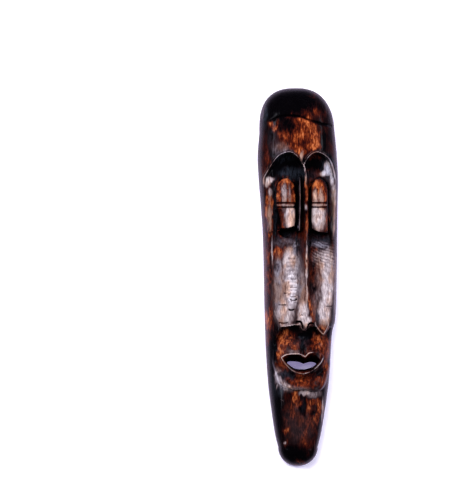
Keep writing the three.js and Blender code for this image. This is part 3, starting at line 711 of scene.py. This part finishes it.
def close_below(mesh):
    """Merges the rows that close to a point and fills the open underside."""
    bmesh.ops.remove_doubles(mesh, verts=mesh.verts, dist=0.02 * MM)
    edges = [edge for edge in mesh.edges if edge.is_boundary]
    bmesh.ops.contextual_create(mesh, geom=edges)
    bmesh.ops.recalc_face_normals(mesh, faces=mesh.faces)


def carved_log():
    mesh = bmesh.new()
    bmesh.ops.create_grid(mesh, x_segments=COLUMNS, y_segments=ROWS, size=1)
    across, along = grid_points(mesh)
    y = rows_spread((along + 1) / 2)
    share = columns_spread(across)
    left, right, _ = sides(y)
    x = np.where(share < 0, share * left, share * right)
    z = np.where(np.abs(across) > 0.9999, 0, carved(x, y))
    move_points(mesh, x, y, z)
    close_below(mesh)
    return as_object(mesh, "carved_mask")


mask = carved_log()
print(len(mask.data.vertices), "points in the carved log")

# %% [markdown]
# ## Hollow, mouth and slots
# The back is scooped out with a gouge, deepest behind the cheeks and forehead, and the mouth and the slots
# under the eyes open into it. Each opening is a solid of its own, cut away with a Boolean modifier. The
# scoop is a grid like the log's, and the others are outlines pushed up level by level.

# %% The scoop
RIM_WIDTH = 9.5
HOLLOW_DEPTH = 17
HOLLOW_LOW, HOLLOW_HIGH = 58 - HALF_LENGTH, HALF_LENGTH - 42
SCOOP_COLUMNS, SCOOP_ROWS = 64, 190
SCOOP_MARKS, SCOOP_GRAIN = 0.5, 0.15
BELOW = -5
hollow_share = profile(
    (-190, 0.9), (-150, 1.25), (-112, 1.6), (-60, 1.5), (0, 1.25), (60, 0.95), (110, 1), (165, 1.6),
)


def scoop():
    mesh = bmesh.new()
    bmesh.ops.create_grid(mesh, x_segments=SCOOP_COLUMNS, y_segments=SCOOP_ROWS, size=1)
    across, along = grid_points(mesh)
    y = mix(HOLLOW_LOW, HOLLOW_HIGH, (1 + np.sin(along * math.pi / 2)) / 2)
    end = np.maximum((1 - np.abs(np.sin(along * math.pi / 2)) ** 4) ** 0.4, 0.02)
    left, right, _ = sides(y)
    turn = clamp(np.abs(across) / 0.96) * math.pi / 2
    reach = np.where(across < 0, -(left - RIM_WIDTH), right - RIM_WIDTH) * end
    x = np.sin(turn) * reach
    roof = HOLLOW_DEPTH * hollow_share(y) * end * np.cos(turn) ** 0.8
    marks = SCOOP_MARKS * np.abs(uneven(x, y, 7, 16, 11)) + SCOOP_GRAIN * uneven(x, y, 2, 9, 12)
    z = np.where(np.abs(across) > 0.97, BELOW, roof - marks * smooth(roof / 4))
    z = np.where(np.abs(along) > 0.9999, BELOW, z)
    move_points(mesh, x, y, z)
    close_below(mesh)
    return as_object(mesh, "scoop")


print(f"the hollow is {HOLLOW_HIGH - HOLLOW_LOW:.0f} mm long")

# %% Mouth and slots
THROAT, FRONT, ABOVE = 27, 43, 70
SLOT_FRONT, SLOT_SLANT = 30, 0.9
LOOP_POINTS = 20  # in every stroke of an outline


def level_loop(strokes):
    """An outline with the same number of evenly spaced points in every stroke."""
    loop = []
    for stroke in strokes:
        line = trace(stroke)
        length = np.append(0, np.cumsum(np.hypot(*np.diff(line, axis=0).T)))
        steps = np.linspace(0, length[-1], LOOP_POINTS, endpoint=False)
        loop.append(np.column_stack([np.interp(steps, length, line[:, k]) for k in (0, 1)]))
    return np.vstack(loop)


def pushed_through(levels, name):
    """A solid through several outlines, each with its height."""
    mesh = bmesh.new()
    (points, height), rest = levels[0], levels[1:]
    ring = [mesh.verts.new((x * MM, y * MM, height * MM)) for x, y in points]
    mesh.faces.new(ring)
    for points, height in rest:
        edges = [edge for edge in mesh.edges if edge.is_boundary]
        if not edges:
            edges = list(mesh.edges)
        made = bmesh.ops.extrude_edge_only(mesh, edges=edges)["geom"]
        lifted = {vertex for vertex in made if isinstance(vertex, bmesh.types.BMVert)}
        follows = {edge.other_vert(vertex): vertex for vertex in lifted for edge in vertex.link_edges
                   if edge.other_vert(vertex) not in lifted}
        ring = [follows[vertex] for vertex in ring]
        for vertex, (x, y) in zip(ring, points):
            vertex.co = (x * MM, y * MM, height * MM)
    mesh.faces.new(ring)
    bmesh.ops.recalc_face_normals(mesh, faces=mesh.faces)
    return as_object(mesh, name)


front, back = level_loop(MOUTH_FRONT), level_loop(MOUTH_BACK)
cutters = [scoop(), pushed_through([(back, BELOW), (back, THROAT), (front, FRONT), (front, ABOVE)], "mouth")]
for strokes in SLOTS:
    loop = level_loop(strokes)
    slanted = loop + [0, (SLOT_FRONT - BELOW) * SLOT_SLANT]
    cutters.append(pushed_through([(slanted, BELOW), (loop, SLOT_FRONT), (loop, ABOVE)], "slot"))
print("cutters:", [cutter.name for cutter in cutters])

# %% Cut them away
SHARP_ANGLE = 50  # degrees; edges sharper than this stay crisp
for cutter in cutters:
    cut = mask.modifiers.new(cutter.name, "BOOLEAN")
    cut.operation = "DIFFERENCE"
    cut.solver = "MANIFOLD"
    cut.object = cutter
ready = mask.evaluated_get(bpy.context.evaluated_depsgraph_get())
mask_mesh = bpy.data.meshes.new_from_object(ready)
mask.modifiers.clear()
mask.data = mask_mesh
for cutter in cutters:
    bpy.data.objects.remove(cutter)
mask_mesh.shade_smooth()
mask_mesh.set_sharp_from_angle(angle=math.radians(SHARP_ANGLE))
triangles = sum(len(face.vertices) - 2 for face in mask_mesh.polygons)
print(len(mask_mesh.vertices), "points after the cuts,", triangles, "triangles")

# %% [markdown]
# ## Staining the wood
# The wood was stained nearly black and rubbed back, so orange wood shows on what stands out, and soot and
# painted shade fill what lies deep. Painting by hand would do it, and so would one big pattern, but soft
# patches at chosen places, torn by the grain, keep both the order and the accident of the real finish. Each
# patch is a middle, a half width and half length, all in millimetres, and a strength. The sheen of the polish
# is painted too, pale and blue-grey. Fine lines of painted shade and painted highlights along edges come
# straight from the carving's own lines: a bell over the distance to a line paints a soft stripe along it. The
# hollow stays plain brown, with painted shade around the cuts. The results are kept on the points as five
# values.

# %% Where the stain is rubbed through
WORN = [
    # over wide parts, weakly
    (2, 182, 36, 28, 0.36), (6, 190, 24, 20, 0.46), (0, -120, 32, 38, 0.54), (2, -185, 26, 32, 0.32),
    (-41, 0, 7, 150, 0.42), (46, 120, 8, 70, 0.36), (-45, 150, 8, 40, 0.3), (12, -205, 16, 24, 0.32),
    (0, 10, 44, 60, 0.4), (16, 218, 22, 12, 0.26), (-16, 100, 12, 32, 0.62), (28, 95, 11, 38, 0.66),
    # crown
    (9, 219, 5, 5, 0.55), (23, 220, 3, 7, 0.5), (18, 239, 9, 3, 0.42), (15, 212, 5, 3, 0.45),
    (30, 224, 14, 18, 0.3),
    # under the crack
    (-32, 199, 7, 8, 0.8), (-27, 206, 5, 5, 0.66), (9, 205, 11, 6, 0.74), (-12, 211, 5, 3, 0.5),
    # forehead
    (1, 184, 10, 16, 0.68), (21, 187, 7, 17, 0.74), (18, 170, 13, 6, 0.78), (-19, 187, 9, 7, 0.56),
    (12, 196, 8, 8, 0.7), (38, 184, 6, 18, 0.14), (-39, 155, 5, 14, 0.42), (5, 164, 5, 8, 0.85),
    (23, 158, 9, 5, 0.55), (-4, 172, 8, 9, 0.66),
    # bar at the temple
    (-37.5, 92, 5, 34, 1), (-37, 72, 4, 16, 0.92), (-38, 58, 4, 6, 0.8),
    # left eye
    (-17, 126, 9, 6, 0.86), (-26, 112, 4, 14, 0.66), (-5, 111, 3, 16, 0.84), (-19, 75, 3, 15, 0.8),
    (-10, 77, 7, 17, 0.4), (-17, 60, 11, 4, 0.56),
    # right eye
    (22, 123, 7, 9, 0.9), (30, 114, 5, 15, 0.9), (38, 74, 4, 17, 0.84), (25, 106, 9, 10, 0.66),
    (26, 79, 9, 18, 0.66), (22, 138, 10, 9, 0.46),
    # nose
    (11, 115, 2, 29, 0.74), (11, 73, 2, 19, 0.76), (15, -42, 3, 18, 0.85), (8, 40, 3, 30, 0.5),
    (6, 66, 2, 14, 0.45), (15, -60, 6, 6, 0.6),
    # left cheek
    (-26, 32, 9, 10, 0.72), (-12, 34, 10, 6, 0.74), (-19, 3, 5, 20, 0.78), (-14, -20, 4, 14, 0.62),
    (-16, -60, 10, 4, 0.6),
    # left side
    (-39, 9, 4, 36, 0.62), (-37, -54, 7, 18, 0.8), (-36, -90, 4, 20, 0.4),
    # right cheek
    (22, 32, 6, 12, 0.8), (44, 25, 4, 22, 0.55), (38, -10, 9, 45, 0.3), (34, -66, 7, 6, 0.85),
    # the patch at (23, -79) is painted light: it brightens the shaded wall below the cheek's foot
    (23, -79, 8, 7, 0.78), (20, -40, 4, 26, 0.76), (19, 10, 4, 20, 0.62),
    # lips
    (-16, -79, 11, 14, 0.84), (-24, -97, 6, 14, 0.78), (-7, -89, 9, 5, 0.7), (35, -92, 8, 18, 0.74),
    (36, -120, 5, 14, 0.66), (23, -90, 7, 8, 0.72), (14, -139, 16, 7, 0.4), (31, -134, 7, 13, 0.54),
    # chin
    (-1, -160, 6, 11, 0.95), (19, -163, 9, 5, 0.84), (28, -170, 4, 12, 0.84), (12, -170, 3, 9, 0.6),
    (-8, -174, 4, 13, 0.54), (-12, -190, 5, 14, 0.4), (-16, -201, 4, 6, 0.66), (10, -209, 5, 12, 0.56),
    (14, -192, 7, 14, 0.52), (25, -184, 5, 9, 0.56), (-15, -217, 5, 5, 0.44), (4, -243, 9, 5, 0.66),
    (13, -233, 4, 8, 0.4),
]
print(len(WORN), "patches rubbed down to the wood")

# %% Where sheen is painted: pale colour standing in for the lights' reflection in the polish
PALE = [
    # over wide parts, weakly
    (2, -190, 24, 32, 0.16), (-12, -92, 16, 18, 0.12),
    # eyes
    (-18, 106, 4, 20, 0.56), (-11, 104, 2, 20, 0.45), (-10, 77, 8, 18, 0.86), (26, 79, 10, 19, 0.8),
    (22, 101, 4, 15, 0.68), (30, 103, 3.5, 14, 0.6),
    # bar at the temple
    (-37, 78, 3.6, 20, 0.56), (-37, 104, 2, 10, 0.34), (-36, 112, 3, 6, 0.6),
    # socket walls
    (40, 144, 6.5, 10, 0.95), (37, 137, 9, 5, 0.85), (45, 132, 4, 12, 0.95), (47, 108, 3, 18, 0.75),
    (-41, 126, 5, 7, 0.85), (-36, 129, 5, 4, 0.8), (46, 76, 3, 26, 0.6),
    # rolls under the eyes
    (-15, 46, 17, 5, 0.36), (29, 43, 12, 5, 0.56), (-3, 44, 4, 4, 0.6), (-33.4, 35, 1, 20, 0.7),
    # left cheek
    (-9, 16, 12, 26, 0.76), (-8, -14, 8.5, 28, 1), (-25, -8, 7, 36, 0.62), (-17, -44, 13, 20, 0.74),
    (-20, -20, 14, 40, 0.5),
    # right cheek
    (38, 14, 10, 28, 0.78), (32, 24, 14, 14, 0.54), (22, -10, 6, 46, 0.4), (38, -16, 8.5, 28, 0.84),
    (34, -45, 8.5, 20, 0.8), (34, -10, 12, 50, 0.4),
    # along the sides
    (49.5, -10, 2.5, 52, 0.6), (-49.5, 84, 2, 60, 0.6), (-46.5, 222, 2.4, 14, 0.5),
    (32.5, -178, 1.4, 20, 0.8),
    # nose
    (4, -14, 6, 34, 0.5), (6, -46, 7, 20, 0.78), (11, 0, 1.2, 62, 0.7), (12, -58, 5, 8, 0.8),
    (10, 92, 2, 4, 0.5),
    # over and between the brows
    (-22, 168, 12, 9, 0.35), (5, 157, 2.4, 9, 0.6),
    # lips and chin
    (-6, -97, 9, 3, 0.4), (9, -151, 8, 4.5, 0.8), (19, -154, 9, 5, 0.5), (26, -152, 6, 5, 0.4),
    (-23, -186, 2, 2, 0.5), (-17, -217, 2, 2, 0.6), (5, -244, 4, 2, 0.6),
]
print(len(PALE), "pale patches")

# %% Where a blue-grey sheen is painted over the black wood, standing in for reflected light
COOL = [
    (-8, 136, 15, 8, 1), (20, 132, 8, 8, 0.5), (-15, 47, 18, 7, 1), (29, 45, 14, 7, 0.9),
    (0, 38, 7, 8, 0.8), (-29.5, 95, 1.6, 34, 0.5), (42.5, 90, 2.4, 34, 0.8), (1, 0, 5, 34, 0.5),
    (5, -86, 8, 8, 0.5), (42, 142, 11, 18, 0.8), (-16, -126, 14, 8, 0.6), (-30, -140, 6, 16, 0.5),
    (-32, 176, 7, 22, 0.35), (-26, -8, 5, 32, 0.9), (-20, 160, 14, 8, 0.5), (6, -170, 3, 12, 0.2),
    (-16, 75, 3, 14, 0.3), (-8, -14, 9, 28, 0.45), (36, -20, 8, 40, 0.12), (50, -10, 3, 60, 0.4),
    (-49, 84, 3, 70, 0.8), (-22, -149, 4, 8, 0.9), (-44, 218, 4, 20, 0.9), (26, -53, 3, 6, 0.7),
]
print(len(COOL), "blue-grey patches")

# %% Where soot and stain lie thick, and where shade is painted in what lies deep
SOOT_AND_SHADE = [
    (-10, 234, 28, 16, 1), (-30, 216, 12, 12, 0.9), (33, 228, 10, 10, 0.5), (33, 177, 3, 13, 0.8),  # crown
    (-14, 197, 10, 8, 0.4), (-8, 152, 14, 6, 0.9), (-28, 143, 8, 8, 0.7), (22, 150, 14, 8, 0.6),  # brows
    (-5, 138, 14, 5, 0.45), (-28.5, 75, 4, 17, 1), (14.5, 60, 2, 40, 0.75), (-1.5, 85, 2, 50, 0.8),  # sockets
    (-34, -100, 4, 26, 0.9), (9, -77, 9, 4.5, 0.9), (6, -93, 3, 9, 0.8), (45, -72, 5, 12, 0.9),  # lips
    (-13, -127, 12, 4, 0.6), (24, -124, 10, 6, 0.6), (-34, -160, 5, 30, 0.9), (6, -166, 4, 12, 0.56),  # chin
    (19, -180, 4, 4, 0.6), (-2, -235, 20, 10, 0.7), (19, -5, 5, 26, 0.3), (-27, 12, 3, 6, 0.35),
    (-26, -178, 6, 30, 0.5),
]
# painted shade: the hollow darkened around the cuts, where only shade falls
SHADE_AROUND_CUTS = [(3, -113, 34, 18, 1), (-11, 60, 20, 13, 1), (29, 57, 18, 13, 1)]  # around the cuts, inside
TEAR_WIDE, TEAR_FINE, TEAR_ALONG = 1.8, 1.7, 4  # millimetres


def painted(patches, x, y, torn):
    """The strongest of several soft patches at every point, torn along the grain."""
    torn_x = x + torn * (TEAR_WIDE * uneven(x, y, 4, 9, 21) + TEAR_FINE * uneven(x, y, 1.5, 6, 22))
    torn_y = y + torn * TEAR_ALONG * uneven(x, y, 3, 16, 23)
    value = np.zeros(x.shape)
    for cx, cy, rx, ry, strength in patches:
        value = np.maximum(value, strength * smooth(1.5 - np.hypot((torn_x - cx) / rx, (torn_y - cy) / ry)))
    return value


print(len(SOOT_AND_SHADE), "sooty patches, and", len(SHADE_AROUND_CUTS), "in the hollow")

# %% The carving's lines, for every point
places = np.empty(len(mask_mesh.vertices) * 3)
mask_mesh.vertices.foreach_get("co", places)
x, y, z = places.reshape(-1, 3).T / MM
on_face = smooth((z - face_height(x, y) + 4) / 2)
in_eyes = [within(line, x, y) for line in eye_lines]
in_sockets = [within(line, x, y) for line in socket_lines]
in_field = within(field_line, x, y)
off_mouth = -within(mouth_line, x, y)
rippled, gouged = cheek_waves(x, y)
print(f"{on_face.mean():.0%} of the points lie on the face")

# %% Painted shade along the carved lines: crack, grooves, nostrils, nicks and under the brows
bands = sum(bell((y - place) / 1.5) for place in BANDS) * np.maximum(smooth(in_eyes[0]), smooth(in_eyes[1]))
shade_around_eyes = sum(bell(within(line, x, y) / 1.6) for line in moat_lines)
shade_under_brows = smooth((y - 118) / 12) * sum(bell((inside - 1.2) / 1.4) for inside in in_sockets)
shade_beside_brow = smooth((y - 100) / 12) * smooth((x - 36) / 4) * bell((in_sockets[1] + 3.4) / 2.6)
nostril_shade = sum(bell(distance(line, x, y) / 1.8) for line in nostril_lines)
nicks = sum(bell(distance(line, x, y) / (0.9 * breadth)) for line, (*_, breadth) in zip(NICK_LINES, NICKS))
shaded_lines = bell(from_crack(x, y) / 2.6) + bands + shade_around_eyes + nostril_shade
shaded_lines = clamp(shaded_lines + 0.9 * shade_under_brows + 0.8 * shade_beside_brow + 0.8 * nicks)
print(f"dark lines over {(shaded_lines > 0.5).mean():.1%} of the points")

# %% Painted highlights along the edges
brow = smooth((y - RIM_ABOVE) / RIM_FADE)
brow_highlights = brow * sum(bell((inside + 0.7) / 0.8) + 0.45 * bell((inside + 3) / 0.8) for inside in in_sockets)
band_highlight = bell((y - sum(BANDS) / 2) / 1.5) * sum(smooth(inside - 1) for inside in in_eyes)
loop_line = trace([(-27, -141), (-28, -150), (-24.5, -158), (-19, -162)])
lip_fade = 1 - 0.8 * smooth((x - 17) / 4) * smooth((y + 107) / 3)
upper_lip = smooth((y + 112) / 8)
lip_highlight = lip_fade * clamp(bell((off_mouth - 0.8) / 0.9) + 0.25 * upper_lip * bell(off_mouth - 3.4))
cheek_foot_highlight = smooth((-56 - y) / 4) * sum(bell((inside - 0.6) / 1.2) for inside in in_sockets)
field_edge_highlight = 0.2 * bell((in_field - 0.8) / 1.2) * smooth((-60 - y) / 6)
print(f"lip edges over {(lip_highlight > 0.5).mean():.1%} of the points")

# %% The painted sheen along the chin
sheen_breadth = mix(12, 6, smooth((x + 24) / 26))
sheen_strength = mix(0.74, 0.42, smooth((x + 14) / 12)) * smooth((26 - x) / 18)
chin_edge_highlight = mix(0.24, 0.1, smooth(x / 14)) * bell((in_field - 1) / 1.8)
chin_sheen = smooth((-112 - y) / 12) * (chin_edge_highlight + sheen_strength * bell((in_field - 2) / sheen_breadth))
chin_sheen *= 0.85 + 0.3 * uneven(x, y, 1.5, 4, 31)
edge_highlights = 0.8 * brow_highlights + lip_highlight + 0.6 * band_highlight + 0.85 * cheek_foot_highlight + field_edge_highlight + chin_sheen
edge_highlights += 0.55 * bell(distance(loop_line, x, y) / 1.1) + 0.6 * bell(distance(fin_line, x, y) / 1.1)
print(f"the sheen is {chin_sheen.max():.2f} at its strongest")

# %% Paint the points
LEAST_SHEEN, SHEEN_ABOVE, SHEEN_FADE = 0.25, 9, 14  # the painted sheen fades towards the foot of the sides
sheen_reach = on_face * mix(LEAST_SHEEN, 1, smooth((z - SHEEN_ABOVE) / SHEEN_FADE))
# soot and painted shade, with painted shade in the troughs of the ripples and gouges
soot_and_shade_cover = clamp(np.maximum(painted(SOOT_AND_SHADE, x, y, 1), shaded_lines) - 0.2 * np.minimum(rippled + gouged, 0))
LAYERS = {
    # worn: rubbed-through wood, and the painted highlight along the lip edge
    "worn": np.maximum(painted(WORN, x, y, 1), 0.85 * lip_highlight) * on_face,
    # pale: painted sheen and painted highlights
    "pale": np.maximum(painted(PALE, x, y, 0.4), clamp(edge_highlights)) * sheen_reach,
    # cool: painted blue-grey sheen
    "cool": painted(COOL, x, y, 0.6) * on_face,
    # soot and painted shade on the face, and painted shade around the cuts in the hollow
    "soot_and_shade": soot_and_shade_cover * on_face + painted(SHADE_AROUND_CUTS, x, y, 0.3) * (1 - on_face),
    "back": 1 - on_face,
}
for name, values in LAYERS.items():
    layer = mask_mesh.attributes.new(name, "FLOAT", "POINT")
    layer.data.foreach_set("value", values.astype(np.float32))
    print(f"{name}: {values.mean():.3f} on average")

# %% [markdown]
# ## The fuller right side
# A split log is never quite even, and the right half of this one bulges a little more. The lines could all be
# drawn again, but one stretch of the right half, once the carving is painted, takes everything along.

# %% Let the right side out
FULLNESS = 0.02  # of the right half's breadth
FULL_BELOW, FULL_FADE = 205, 30
fuller = places.reshape(-1, 3).copy()
fuller[:, 0] *= 1 + FULLNESS * (x > 0) * smooth((FULL_BELOW - y) / FULL_FADE)
mask_mesh.vertices.foreach_set("co", fuller.ravel())
mask_mesh.update()
stretch = (fuller[:, 0] - places.reshape(-1, 3)[:, 0]).max() / MM
print(f"right half stretched by up to {stretch:.2f} mm")

# %% [markdown]
# ## The finish
# The material reads the five values and tears them further with fine grain, which runs along the mask. Tone
# decides between soot with painted shade, brown stain and bare orange wood, and the painted sheen, pale and
# blue-grey, goes on top. A clear coat gives the shine, and fine grain in the bump breaks it up. The hollow
# was never polished, so it gets a dull finish.

# %% Wood material
TONES = [
    (0.0, (0.0006, 0.0004, 0.0008)),
    (0.22, (0.004, 0.001, 0.0014)),
    (0.42, (0.021, 0.0028, 0.0018)),
    (0.62, (0.072, 0.0105, 0.0034)),
    (0.82, (0.165, 0.032, 0.0085)),
    (1.0, (0.35, 0.1, 0.033)),
]
# painted sheen: colours from faint to bright, standing in for the lights' reflection
PALES = [
    (0.0, (0.02, 0.012, 0.016)),
    (0.35, (0.09, 0.060, 0.068)),
    (0.7, (0.27, 0.22, 0.24)),
    (1.0, (0.60, 0.52, 0.55)),
]
# painted blue-grey sheen, and the tint it gives to the pale painted sheen
COOL_COLOUR = (0.014, 0.017, 0.026, 1)
COOL_TINT = (0.62, 0.74, 0.92, 1)
WARM_TINT = (1.0, 0.74, 0.56, 1)
BARE_TONE, WORN_TONE, SOOT_AND_SHADE_TONE, BACK_TONE = 0.09, 0.82, -0.55, 0.36
CLOUD_SHARE, BARE_MOTTLE, WORN_MOTTLE = 0.6, 0.1, 0.56  # how strongly the grain shows in the stain
# how the painted sheen spreads, and how soot and painted shade hold it back
PALE_MEAN, PALE_MOTTLE, PALE_UNDER_SOOT_AND_SHADE = 0.95, 0.42, -0.85
PALE_START, PALE_COVER = -0.1, 2.2
COOL_MEAN, COOL_MOTTLE = 0.6, 1.3
WARM_CLOUDS, WARM_WORN = 1.4, 0.9
STREAKS = (640, 0.24, 3.0)  # noise scale, stretch along the mask, strength
SPOTS = (260, 0.5, 2.2)
CLOUDS = (70, 0.6, 4, 2)  # and detail
COAT_ROUGHNESS, ROUGH_MOTTLE = 0.12, 0.12
BUMP_STRENGTH, BUMP_HEIGHT = 0.35, 0.0004


def grain(tree, scale, stretch, strength, detail=4):
    """Noise drawn out along the mask, around zero."""
    place = tree.nodes.new("ShaderNodeTexCoord")
    turn = node(tree, "ShaderNodeMapping", Scale=(1, stretch, 1))
    noise = node(tree, "ShaderNodeTexNoise", Scale=scale, Detail=detail, Roughness=0.6)
    tree.links.new(place.outputs["Object"], turn.inputs["Vector"])
    tree.links.new(turn.outputs["Vector"], noise.inputs["Vector"])
    return math_node(tree, "MULTIPLY", math_node(tree, "SUBTRACT", noise.outputs["Fac"], 0.5), strength)


def blend_node(tree, share, below, above, blend="MIX"):
    made = tree.nodes.new("ShaderNodeMix")
    made.data_type = "RGBA"
    made.blend_type = blend
    tree.links.new(share, made.inputs["Factor"])
    for socket, colour in ((made.inputs[6], below), (made.inputs[7], above)):
        if isinstance(colour, tuple):
            socket.default_value = colour
        else:
            tree.links.new(colour, socket)
    return made.outputs[2]


def wood_material(name, gloss, coat, roughness):
    material = bpy.data.materials.new(name)
    material.use_nodes = True
    tree = material.node_tree

    def add(a, b, limit=False):
        return math_node(tree, "ADD", a, b, limit)

    def times(a, b, limit=False):
        return math_node(tree, "MULTIPLY", a, b, limit)

    shader = tree.nodes["Principled BSDF"]
    shader.inputs["Coat Weight"].default_value = coat
    shader.inputs["Coat Roughness"].default_value = COAT_ROUGHNESS
    shader.inputs["Specular IOR Level"].default_value = gloss
    streaks = grain(tree, *STREAKS)
    spots = grain(tree, *SPOTS)
    clouds = grain(tree, *CLOUDS)
    worn, pale, cool, soot_and_shade, back = (value_node(tree, layer) for layer in LAYERS)
    mottle = add(streaks, spots)
    tone = add(times(worn, WORN_TONE), BARE_TONE)
    contrast = add(times(worn, WORN_MOTTLE), BARE_MOTTLE)
    tone = add(tone, times(add(mottle, times(clouds, CLOUD_SHARE)), contrast))
    tone = add(tone, times(soot_and_shade, SOOT_AND_SHADE_TONE))
    tone = add(tone, times(back, BACK_TONE), limit=True)
    # painted sheen: pale colour standing in for reflected light, held back by soot and painted shade
    sheen_level = times(pale, add(times(mottle, PALE_MOTTLE), PALE_MEAN))
    sheen_level = add(sheen_level, times(soot_and_shade, PALE_UNDER_SOOT_AND_SHADE), limit=True)
    # painted blue-grey sheen over the black stain
    chill = times(cool, add(times(mottle, COOL_MOTTLE), COOL_MEAN), limit=True)
    stained = blend_node(tree, chill, ramp_node(tree, tone, TONES), COOL_COLOUR)
    warm = add(times(clouds, WARM_CLOUDS), times(worn, WARM_WORN), limit=True)
    sheen_colour = blend_node(tree, warm, ramp_node(tree, sheen_level, PALES), WARM_TINT, "MULTIPLY")
    sheen_colour = blend_node(tree, cool, sheen_colour, COOL_TINT, "MULTIPLY")
    share = add(times(sheen_level, PALE_COVER), PALE_START, limit=True)
    tree.links.new(blend_node(tree, share, stained, sheen_colour), shader.inputs["Base Color"])
    tree.links.new(add(times(mottle, ROUGH_MOTTLE), roughness, limit=True), shader.inputs["Roughness"])
    bump = node(tree, "ShaderNodeBump", Strength=BUMP_STRENGTH, Distance=BUMP_HEIGHT)
    tree.links.new(mottle, bump.inputs["Height"])
    tree.links.new(bump.outputs["Normal"], shader.inputs["Normal"])
    return material


mask_mesh.materials.clear()
mask_mesh.materials.append(wood_material("stained wood", gloss=0.05, coat=0.4, roughness=0.4))
mask_mesh.materials.append(wood_material("dull wood", gloss=0, coat=0, roughness=0.85))
dull_points = LAYERS["back"] > 0.5
for face in mask_mesh.polygons:
    face.material_index = int(any(dull_points[point] for point in face.vertices))
print("finishes:", [material.name for material in mask_mesh.materials])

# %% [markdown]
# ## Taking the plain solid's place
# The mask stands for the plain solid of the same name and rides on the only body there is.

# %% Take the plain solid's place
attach(mask, "root")
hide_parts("mask")
